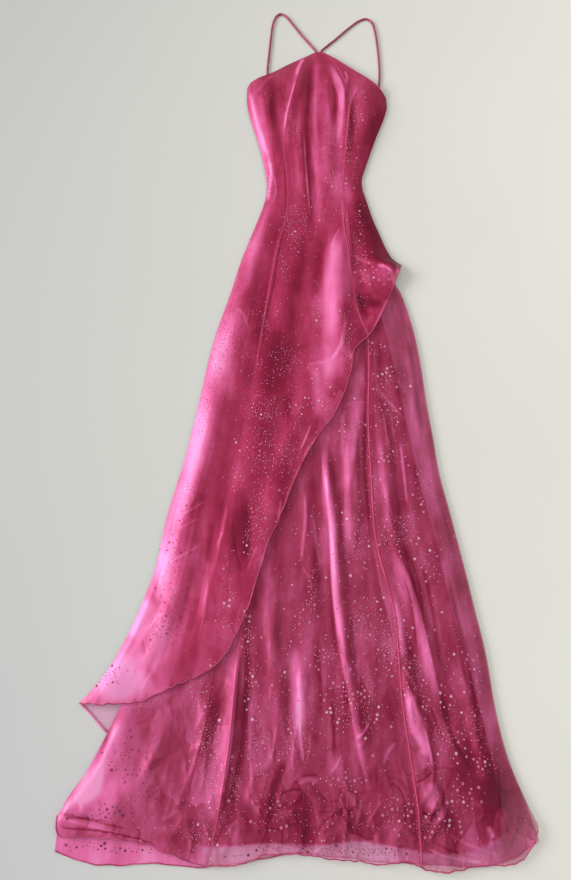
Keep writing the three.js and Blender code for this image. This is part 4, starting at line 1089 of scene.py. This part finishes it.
def organza(name, palette, streaks, clouds, sheer_alpha, full_alpha):
    """Sheer satin-faced organza over lining: faint silky streaks along the grain and crisp small creases, with painted
    light and shade in its tone and along the creases.
    """
    m = Nodes(name)
    grain = m.add("UVMap", uv_map="cloth").outputs["UV"]
    place = m.add("TexCoord").outputs["Object"]
    fibre = m.value_noise(m.stretched(grain, 800, 24), 1.0, 4.0, 0.6)
    streak = m.value_noise(m.stretched(grain, 70, 5), 1.0, 4.0, 0.6)
    cloud = m.value_noise(m.stretched(place, 26, 8), 1.0, 3.0)
    rings = m.maths("SINE", m.maths("MULTIPLY", m.value_noise(m.stretched(place, 7, 5), 1.0, 1.0), MOIRE_RINGS), 0.0)
    tone = m.attribute("tone")
    tone = m.maths("ADD", tone, m.span(streak, 0.3, 0.7, -streaks, streaks))
    mottle = m.value_noise(place, 34.0, 3.0, 0.6)
    tone = m.maths("ADD", tone, m.span(mottle, 0.3, 0.7, -0.12, 0.12))
    crinkle = m.attribute("crinkle")
    # Where the cloth crinkles: painted shade along the facets' edges, and painted light and shade making each facet
    # lighter or darker
    edge, facet = m.facets(place, 30, 17, 0.5)
    broken = m.span(m.value_noise(place, 16.0, 1.0), 0.42, 0.58, 0.0, 1.0)
    line = m.maths("MULTIPLY", m.span(edge, 0.0, 0.05, -WRINKLE_TONE, 0.0), broken)
    line = m.maths("ADD", line, m.span(facet, 0.0, 1.0, -FACET_TONE, FACET_TONE))
    tone = m.maths("ADD", tone, m.maths("MULTIPLY", line, crinkle))
    tone = m.maths("ADD", tone, m.span(cloud, 0.3, 0.7, -clouds, clouds))
    tone = m.maths("ADD", tone, m.maths("MULTIPLY", rings, m.span(m.attribute("moire"), 0.0, 1.0, 0.0, 0.05)))
    tone = m.maths("ADD", tone, m.span(fibre, 0.3, 0.7, -0.05, 0.05))
    ramp = m.add("ValToRGB")
    for k, (place_on_ramp, colour) in enumerate(palette):
        stop = ramp.color_ramp.elements[k] if k < 2 else ramp.color_ramp.elements.new(place_on_ramp)
        stop.position = place_on_ramp
        stop.color = (*colour, 1.0)
    m.link(m.span(tone, TONE_LOW, TONE_HIGH, 0.0, 1.0), ramp.inputs[0])
    seam = m.attribute("seam")
    colour = m.mixed(m.span(seam, 5.0, 3.5, 0.0, 0.3), ramp.outputs[0], SEAM_COLOUR)
    m.link(colour, m.shader.inputs["Base Color"])
    m.link(m.span(streak, 0.3, 0.7, 0.52, 0.42), m.shader.inputs["Roughness"])
    m.link(m.span(m.attribute("cover"), 0.0, 1.0, sheer_alpha, full_alpha), m.shader.inputs["Alpha"])
    normal = m.bump(streak, 0.08, 0.002)
    normal = m.bump(fibre, 0.1, 0.0006, normal)
    normal = m.bump(m.value_noise(place, 70.0, 4.0, 0.6), 0.25, 0.0014, normal)
    normal = m.bump(m.maths("MULTIPLY", m.span(edge, 0.0, 0.15, 0.0, 1.0), crinkle), 0.16, 0.001, normal)
    m.link(normal, m.shader.inputs["Normal"])
    m.set(Metallic=0.12, Specular_IOR_Level=0.2)
    m.shader.inputs["Specular Tint"].default_value = (1.0, 0.5, 0.78, 1.0)
    return m.material


def satin(name, dark, bright, roughness):
    """Smooth lining or strap cloth with a soft sheen and a fine cross weave."""
    m = Nodes(name)
    place = m.add("TexCoord").outputs["Object"]
    cloud = m.value_noise(place, 24.0, 3.0)
    weave = m.value_noise(m.stretched(place, 2600, 700), 1.0, 2.0)
    colour = m.mixed(m.span(cloud, 0.35, 0.7, 0.0, 1.0), dark, bright)
    colour = m.mixed(m.span(weave, 0.35, 0.7, 0.0, 0.2), colour, bright)
    m.link(colour, m.shader.inputs["Base Color"])
    m.link(m.span(cloud, 0.3, 0.7, roughness, roughness + 0.1), m.shader.inputs["Roughness"])
    m.link(m.bump(weave, 0.2, 0.0004), m.shader.inputs["Normal"])
    m.set(Metallic=0.15, Sheen_Weight=0.2)
    return m.material


def foil(name, colour, roughness, metallic):
    """Printed foil with small dents that catch the light."""
    m = Nodes(name)
    place = m.add("TexCoord").outputs["Object"]
    dents = m.value_noise(place, 700.0, 1.0)
    darker = tuple(0.7 * c for c in colour)
    m.link(m.mixed(m.span(dents, 0.3, 0.7, 0.0, 1.0), colour, darker), m.shader.inputs["Base Color"])
    m.link(m.span(dents, 0.3, 0.7, roughness, roughness + 0.15), m.shader.inputs["Roughness"])
    m.link(m.bump(dents, 0.4, 0.0005), m.shader.inputs["Normal"])
    m.set(Metallic=metallic)
    return m.material


def floor_material():
    """A pale matt surface with painted light and shade: darker and cooler at the left, brighter and warmer at the
    right, and darker and bluer at the left towards negative y.
    """
    m = Nodes("pale_surface")
    place = m.add("TexCoord").outputs["Object"]
    split = m.add("SeparateXYZ")
    m.link(place, split.inputs[0])
    grain = m.value_noise(place, 3.0, 2.0)
    colour = m.mixed(m.span(split.outputs[0], -0.6, 0.7, 0.0, 1.0), FLOOR_SHADED_COOL, FLOOR_LIT_WARM)
    colour = m.mixed(m.span(split.outputs[1], -0.2, -0.9, 0.0, 0.6), colour, m.mixed(
        m.span(split.outputs[0], -0.5, 0.4, 0.0, 1.0), FLOOR_SHADED_BLUE, FLOOR_LIT_WARM))
    colour = m.mixed(m.span(grain, 0.3, 0.7, 0.0, 0.06), colour, FLOOR_SHADED_COOL)
    m.link(colour, m.shader.inputs["Base Color"])
    m.link(m.bump(m.value_noise(place, 400.0, 2.0), 0.03, 0.001), m.shader.inputs["Normal"])
    m.set(Roughness=0.85)
    return m.material


SEAM_COLOUR = (0.55, 0.05, 0.16)
# Floor colours in painted light and shade: shaded and cool at the left, lit and warm at the right, shaded and bluish at
# the left towards negative y
FLOOR_SHADED_COOL = (0.50, 0.51, 0.49)
FLOOR_LIT_WARM = (0.93, 0.92, 0.86)
FLOOR_SHADED_BLUE = (0.52, 0.52, 0.58)

# Organza from its darkest folds, in painted shade, to its palest, in painted highlights and sheer single layers: place
# between the tone limits, and colour
TONE_LOW, TONE_HIGH = -1.0, 1.5
MOIRE_RINGS = 90.0
# Painted shade along the small creases' edges, and painted light and shade across their facets
WRINKLE_TONE = 0.22
FACET_TONE = 0.2
OVERLAY_TONES = (
    (0.0, (0.16, 0.007, 0.028)),
    (1.0, (0.93, 0.31, 0.63)),
    (0.2, (0.26, 0.011, 0.044)),
    (0.4, (0.43, 0.034, 0.100)),
    (0.6, (0.66, 0.095, 0.25)),
    (0.8, (0.87, 0.20, 0.45)),
)
SKIRT_TONES = (
    (0.0, (0.15, 0.010, 0.032)),
    (1.0, (0.93, 0.33, 0.62)),
    (0.2, (0.25, 0.013, 0.048)),
    (0.4, (0.39, 0.044, 0.112)),
    (0.6, (0.61, 0.105, 0.26)),
    (0.8, (0.83, 0.17, 0.42)),
)
OVERLAY_CLOTH = organza("overlay_organza", OVERLAY_TONES, 0.045, 0.22, 0.75, 0.97)
SKIRT_CLOTH = organza("underskirt_organza", SKIRT_TONES, 0.08, 0.38, 0.4, 0.95)
BACK_CLOTH = organza("back_organza", OVERLAY_TONES, 0.08, 0.15, 0.36, 0.6)
LINING_CLOTH = satin("lining_satin", (0.22, 0.016, 0.05), (0.40, 0.05, 0.12), 0.35)
STRAP_CLOTH = satin("strap_satin", (0.30, 0.02, 0.08), (0.50, 0.05, 0.18), 0.3)
HEM_CLOTH = satin("rolled_hem", (0.34, 0.02, 0.07), (0.60, 0.07, 0.2), 0.45)
THREAD = satin("seam_thread", (0.50, 0.03, 0.10), (0.74, 0.08, 0.24), 0.5)
TURNED_CLOTH = satin("turned_hem", (0.62, 0.09, 0.24), (0.90, 0.30, 0.52), 0.5)
# The one printed foil in lit and shaded copies: pale and pink are painted glints, plum and wine painted shade
FOILS = {
    "pale": foil("pale_foil", (0.92, 0.46, 0.64), 0.3, 0.1),
    "pink": foil("pink_foil", (0.74, 0.20, 0.38), 0.35, 0.1),
    "wine": foil("wine_foil", (0.15, 0.02, 0.055), 0.4, 0.2),
    "plum": foil("plum_foil", (0.36, 0.035, 0.13), 0.4, 0.2),
}

SLOTS = {
    "front": ("overlay_organza", OVERLAY_CLOTH),
    "underskirt": ("underskirt_organza", SKIRT_CLOTH),
    "back": ("back_organza", BACK_CLOTH),
    "lining": ("lining", LINING_CLOTH),
}
LINING_THICKNESS = 0.0005

pieces = {}
for name, cloth in clothes.items():
    slot, material = SLOTS["underskirt" if name == "back_underskirt" else name.split("_")[0]]
    piece = cloth.build(name + "_cloth", LINING_THICKNESS if name == "lining_front" else 0.0)
    piece.data.materials.append(material)
    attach(piece, "root")
    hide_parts(name)
    pieces[name] = piece


def tube(name, path, radius, sides, material, wobble=0.0, seed=1):
    """A closed round cord along a path of points in metres."""
    path = np.asarray(path, float)
    draw = random.Random(seed)
    tangents = np.gradient(path, axis=0)
    tangents /= np.linalg.norm(tangents, axis=1)[:, None]
    side = np.cross(tangents, (0, 0, 1.0))
    side /= np.linalg.norm(side, axis=1)[:, None]
    rise = np.cross(side, tangents)
    angles = np.linspace(0, 2 * np.pi, sides, endpoint=False)
    radii = radius * (1 + wobble * np.array([draw.uniform(-1, 1) for _ in path]))
    rings = path[:, None] + radii[:, None, None] * (
        np.cos(angles)[None, :, None] * side[:, None] + np.sin(angles)[None, :, None] * rise[:, None]
    )
    verts = rings.reshape(-1, 3).tolist()
    faces = []
    for k in range(len(path) - 1):
        for s in range(sides):
            a, b = k * sides + s, k * sides + (s + 1) % sides
            faces.append((a, b, b + sides, a + sides))
    faces.append(tuple(range(sides))[::-1])
    last = (len(path) - 1) * sides
    faces.append(tuple(last + s for s in range(sides)))
    mesh = bpy.data.meshes.new(name)
    mesh.from_pydata(verts, [], faces)
    mesh.shade_smooth()
    piece = bpy.data.objects.new(name, mesh)
    bpy.context.scene.collection.objects.link(piece)
    piece.data.materials.append(material)
    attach(piece, "root")
    return piece


# Rolled hems, the bound neckline and the seams
def raised(path, millimetres):
    path = np.array(path)
    path[:, 2] += millimetres * MM
    return path


HEM_RADIUS = 0.0009
EDGE_RADIUS = 0.0007
SEAM_RADIUS = 0.0006
WIDE_SEAM_RADIUS = 0.0011
TURNED_RADIUS = 0.0016
hems = {
    "overlay_hem": (chained(*(clothes[n].bottom for n in OVERLAY)), "overlay_organza"),
    "underskirt_hem": (chained(*(clothes[n].bottom for n in UNDERSKIRT)), "underskirt_organza"),
    "back_underskirt_hem": (clothes["back_underskirt"].bottom, "underskirt_organza"),
    "back_overlay_hem": (clothes["back_left"].bottom, "back_organza"),
    "lining_hem": (clothes["lining_front"].bottom, "lining"),
}
for name, (path, slot) in hems.items():
    count = int(np.linalg.norm(np.diff(path, axis=0), axis=1).sum() / 0.003)
    radius = {"lining_hem": EDGE_RADIUS, "back_overlay_hem": TURNED_RADIUS}.get(name, HEM_RADIUS)
    material = TURNED_CLOTH if name == "back_overlay_hem" else HEM_CLOTH
    tube(name, through(path[::3], count), radius, 8, material, 0.18, len(name))
neckline = chained(*(clothes[n].top for n in OVERLAY))
tube("neckline_edge", neckline, EDGE_RADIUS, 8, HEM_CLOTH, 0.08)
SEAM_SINKS = 850
left_seam = raised(clothes["front_left"].right, 0.1)
left_seam[:, 2] -= MM * smooth_step((SEAM_SINKS - (left_seam[:, 1] - HEM_Y) / MM) / 150)
for name, path, radius, slot in (
    ("overlay_seam_left", left_seam, SEAM_RADIUS, "overlay_organza"),
    ("overlay_seam_right", raised(clothes["front_right"].left, 0.1), SEAM_RADIUS, "overlay_organza"),
    ("underskirt_seam_left", raised(clothes["underskirt_left"].right, 0.1), SEAM_RADIUS, "underskirt_organza"),
    ("underskirt_seam_right", raised(clothes["underskirt_right"].left, 0.3), WIDE_SEAM_RADIUS, "underskirt_organza"),
):
    tube(name, path, radius, 6, THREAD, 0.1)


# Straps: rolled tubes on their solids' routes
STRAP_RADIUS = 0.0021
STRAP_ROUTES = {
    "strap_left": (
        (49, 1460, 2.3), (48, 1478, 2.3), (37, 1496, 2.3), (21, 1519, 2.3), (0, 1553, 2.3), (-16, 1577, 2.3),
        (-27, 1583, 2.3), (-36, 1575, 2.3), (-43, 1553, 2.3), (-46, 1525, 2.3), (-50, 1475, 2.3),
        (-53, 1435, 2.3), (-53, 1405, 2.3), (-52, 1392, 2.8), (-51, 1383, 4.0), (-50, 1364, 4.0),
    ),
    "strap_right": (
        (57, 1460, 2.3), (58, 1480, 2.3), (70, 1494, 2.3), (87, 1511, 2.3), (118, 1544, 2.3),
        (139, 1563, 2.3), (154, 1569, 2.3), (166, 1560, 2.3), (172, 1535, 2.3), (175, 1500, 2.3),
        (177, 1450, 2.3), (176, 1405, 2.3), (173, 1376, 2.8), (171, 1366, 4.0), (170, 1346, 4.0),
    ),
}
for name, route in STRAP_ROUTES.items():
    points = [(*at(x, y), z * MM) for x, y, z in route]
    piece = tube(name + "_cloth", through(points, 170), STRAP_RADIUS, 12, STRAP_CLOTH, 0.06, 5)
    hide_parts(name)


# Foil dots and stars on whatever cloth is uppermost
DOT_RADIUS = (0.00045, 0.001)
STAR_RADIUS = (0.0016, 0.0034)
DENSITY = 2.5
# The share of the pale motifs that take the pink copy, a weaker painted glint
PINK_SHARE = 0.7
DOT_SPACING, STAR_SPACING = 2.6, 5.5
FOIL_LIFT = 0.0005
STAR_WAIST = 0.42


def cloth_tree():
    """All the front cloth as one tree, for finding what lies uppermost."""
    verts, faces, base = [], [], 0
    for name in (*OVERLAY, *UNDERSKIRT, "back_left", "back_underskirt"):
        mesh = pieces[name].data
        verts += [v.co[:] for v in mesh.vertices]
        faces += [tuple(base + k for k in p.vertices) for p in mesh.polygons]
        base = len(verts)
    return BVHTree.FromPolygons(verts, faces)


def motif(centre, normal, radius, turn, star):
    """Vertices and faces of one flat dot or five-pointed star."""
    side = normal.cross(Vector((0, 1, 0))).normalized()
    rise = side.cross(normal)
    count = 10 if star else 6
    points = [centre + normal * 0.0002]
    for k in range(count):
        reach = radius * (STAR_WAIST if star and k % 2 else 1.0)
        angle = turn + 2 * math.pi * k / count
        points.append(centre + side * (reach * math.cos(angle)) + rise * (reach * math.sin(angle)))
    return points, [(0, 1 + k, 1 + (k + 1) % count) for k in range(count)]


def scatter(clusters, tree, seed):
    """Motifs of the clusters by tone, as lists of vertices and faces."""
    draw = random.Random(seed)
    groups = {tone: ([], []) for tone in FOILS}
    taken = {}
    for cluster in clusters:
        turn = math.radians(cluster.turn)
        for _ in range(round(DENSITY * cluster.count)):
            across, along = draw.gauss(0, 0.55) * cluster.wide, draw.gauss(0, 0.55) * cluster.long
            x = cluster.x + across * math.cos(turn) + along * math.sin(turn)
            y = cluster.y - across * math.sin(turn) + along * math.cos(turn)
            star = draw.random() < cluster.stars
            radius = draw.uniform(*(STAR_RADIUS if star else DOT_RADIUS))
            spin = draw.uniform(0, 2 * math.pi)
            spacing = STAR_SPACING if star else DOT_SPACING
            cell = (int(x // STAR_SPACING), int(y // STAR_SPACING))
            near = [p for i in (-1, 0, 1) for j in (-1, 0, 1) for p in taken.get((cell[0] + i, cell[1] + j), ())]
            if any(math.hypot(x - px, y - py) < max(spacing, other) for px, py, other in near):
                continue
            taken.setdefault(cell, []).append((x, y, spacing))
            hit, normal, _, _ = tree.ray_cast(Vector((*at(x, y), 0.2)), Vector((0, 0, -1)))
            if hit is None:
                continue
            normal = normal if normal.z > 0 else -normal
            tone = "pink" if cluster.tone == "pale" and draw.random() < PINK_SHARE else cluster.tone
            verts, faces = groups[tone]
            base = len(verts)
            points, tris = motif(hit + normal * FOIL_LIFT, normal, radius, spin, star)
            verts += [p[:] for p in points]
            faces += [tuple(base + k for k in tri) for tri in tris]
    return groups


for tone, (verts, faces) in scatter(CLUSTERS, cloth_tree(), 7).items():
    mesh = bpy.data.meshes.new("foil_" + tone)
    mesh.from_pydata(verts, [], faces)
    piece = bpy.data.objects.new("foil_" + tone, mesh)
    bpy.context.scene.collection.objects.link(piece)
    mesh.materials.append(FOILS[tone])
    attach(piece, "root")


# Surface, light and camera
def area_light(name, place, target, size, power, colour):
    data = bpy.data.lights.new(name, "AREA")
    data.shape = "RECTANGLE"
    data.size, data.size_y = size
    data.energy = power
    data.color = colour
    lamp = bpy.data.objects.new(name, data)
    lamp.location = place
    lamp.rotation_euler = (Vector(target) - Vector(place)).to_track_quat("-Z", "Y").to_euler()
    bpy.context.scene.collection.objects.link(lamp)


floor_mesh = bpy.data.meshes.new("surface")
FLOOR_HALF = 6.0
floor_mesh.from_pydata(
    [(-FLOOR_HALF, -FLOOR_HALF, 0), (FLOOR_HALF, -FLOOR_HALF, 0), (FLOOR_HALF, FLOOR_HALF, 0), (-FLOOR_HALF, FLOOR_HALF, 0)],
    [],
    [(0, 1, 2, 3)],
)
floor = bpy.data.objects.new("surface", floor_mesh)
floor.location.z = -0.0002
bpy.context.scene.collection.objects.link(floor)
floor_mesh.materials.append(floor_material())

area_light("window", (-3.2, 0.1, 1.7), (0.0, 0.0, 0.0), (2.4, 1.6), 120.0, (0.95, 0.98, 1.0))
area_light("ceiling", (0.9, 0.4, 2.6), (0.3, 0.2, 0.0), (2.4, 2.4), 20.0, (1.0, 0.97, 0.93))

world = bpy.data.worlds.new("room")
world.use_nodes = True
world.node_tree.nodes["Background"].inputs["Color"].default_value = (1.0, 0.97, 0.93, 1.0)
world.node_tree.nodes["Background"].inputs["Strength"].default_value = 0.42
bpy.context.scene.world = world
bpy.context.scene.view_settings.view_transform = "Standard"

camera_data = bpy.data.cameras.new("camera")
camera_data.lens = CAMERA_LENS
camera_data.sensor_width = CAMERA_SENSOR
camera = bpy.data.objects.new("camera", camera_data)
camera.location = (*CAMERA_FOOT, CAMERA_HEIGHT)
camera.rotation_euler = (CAMERA_TILT, 0, 0)
bpy.context.scene.collection.objects.link(camera)
bpy.context.scene.camera = camera
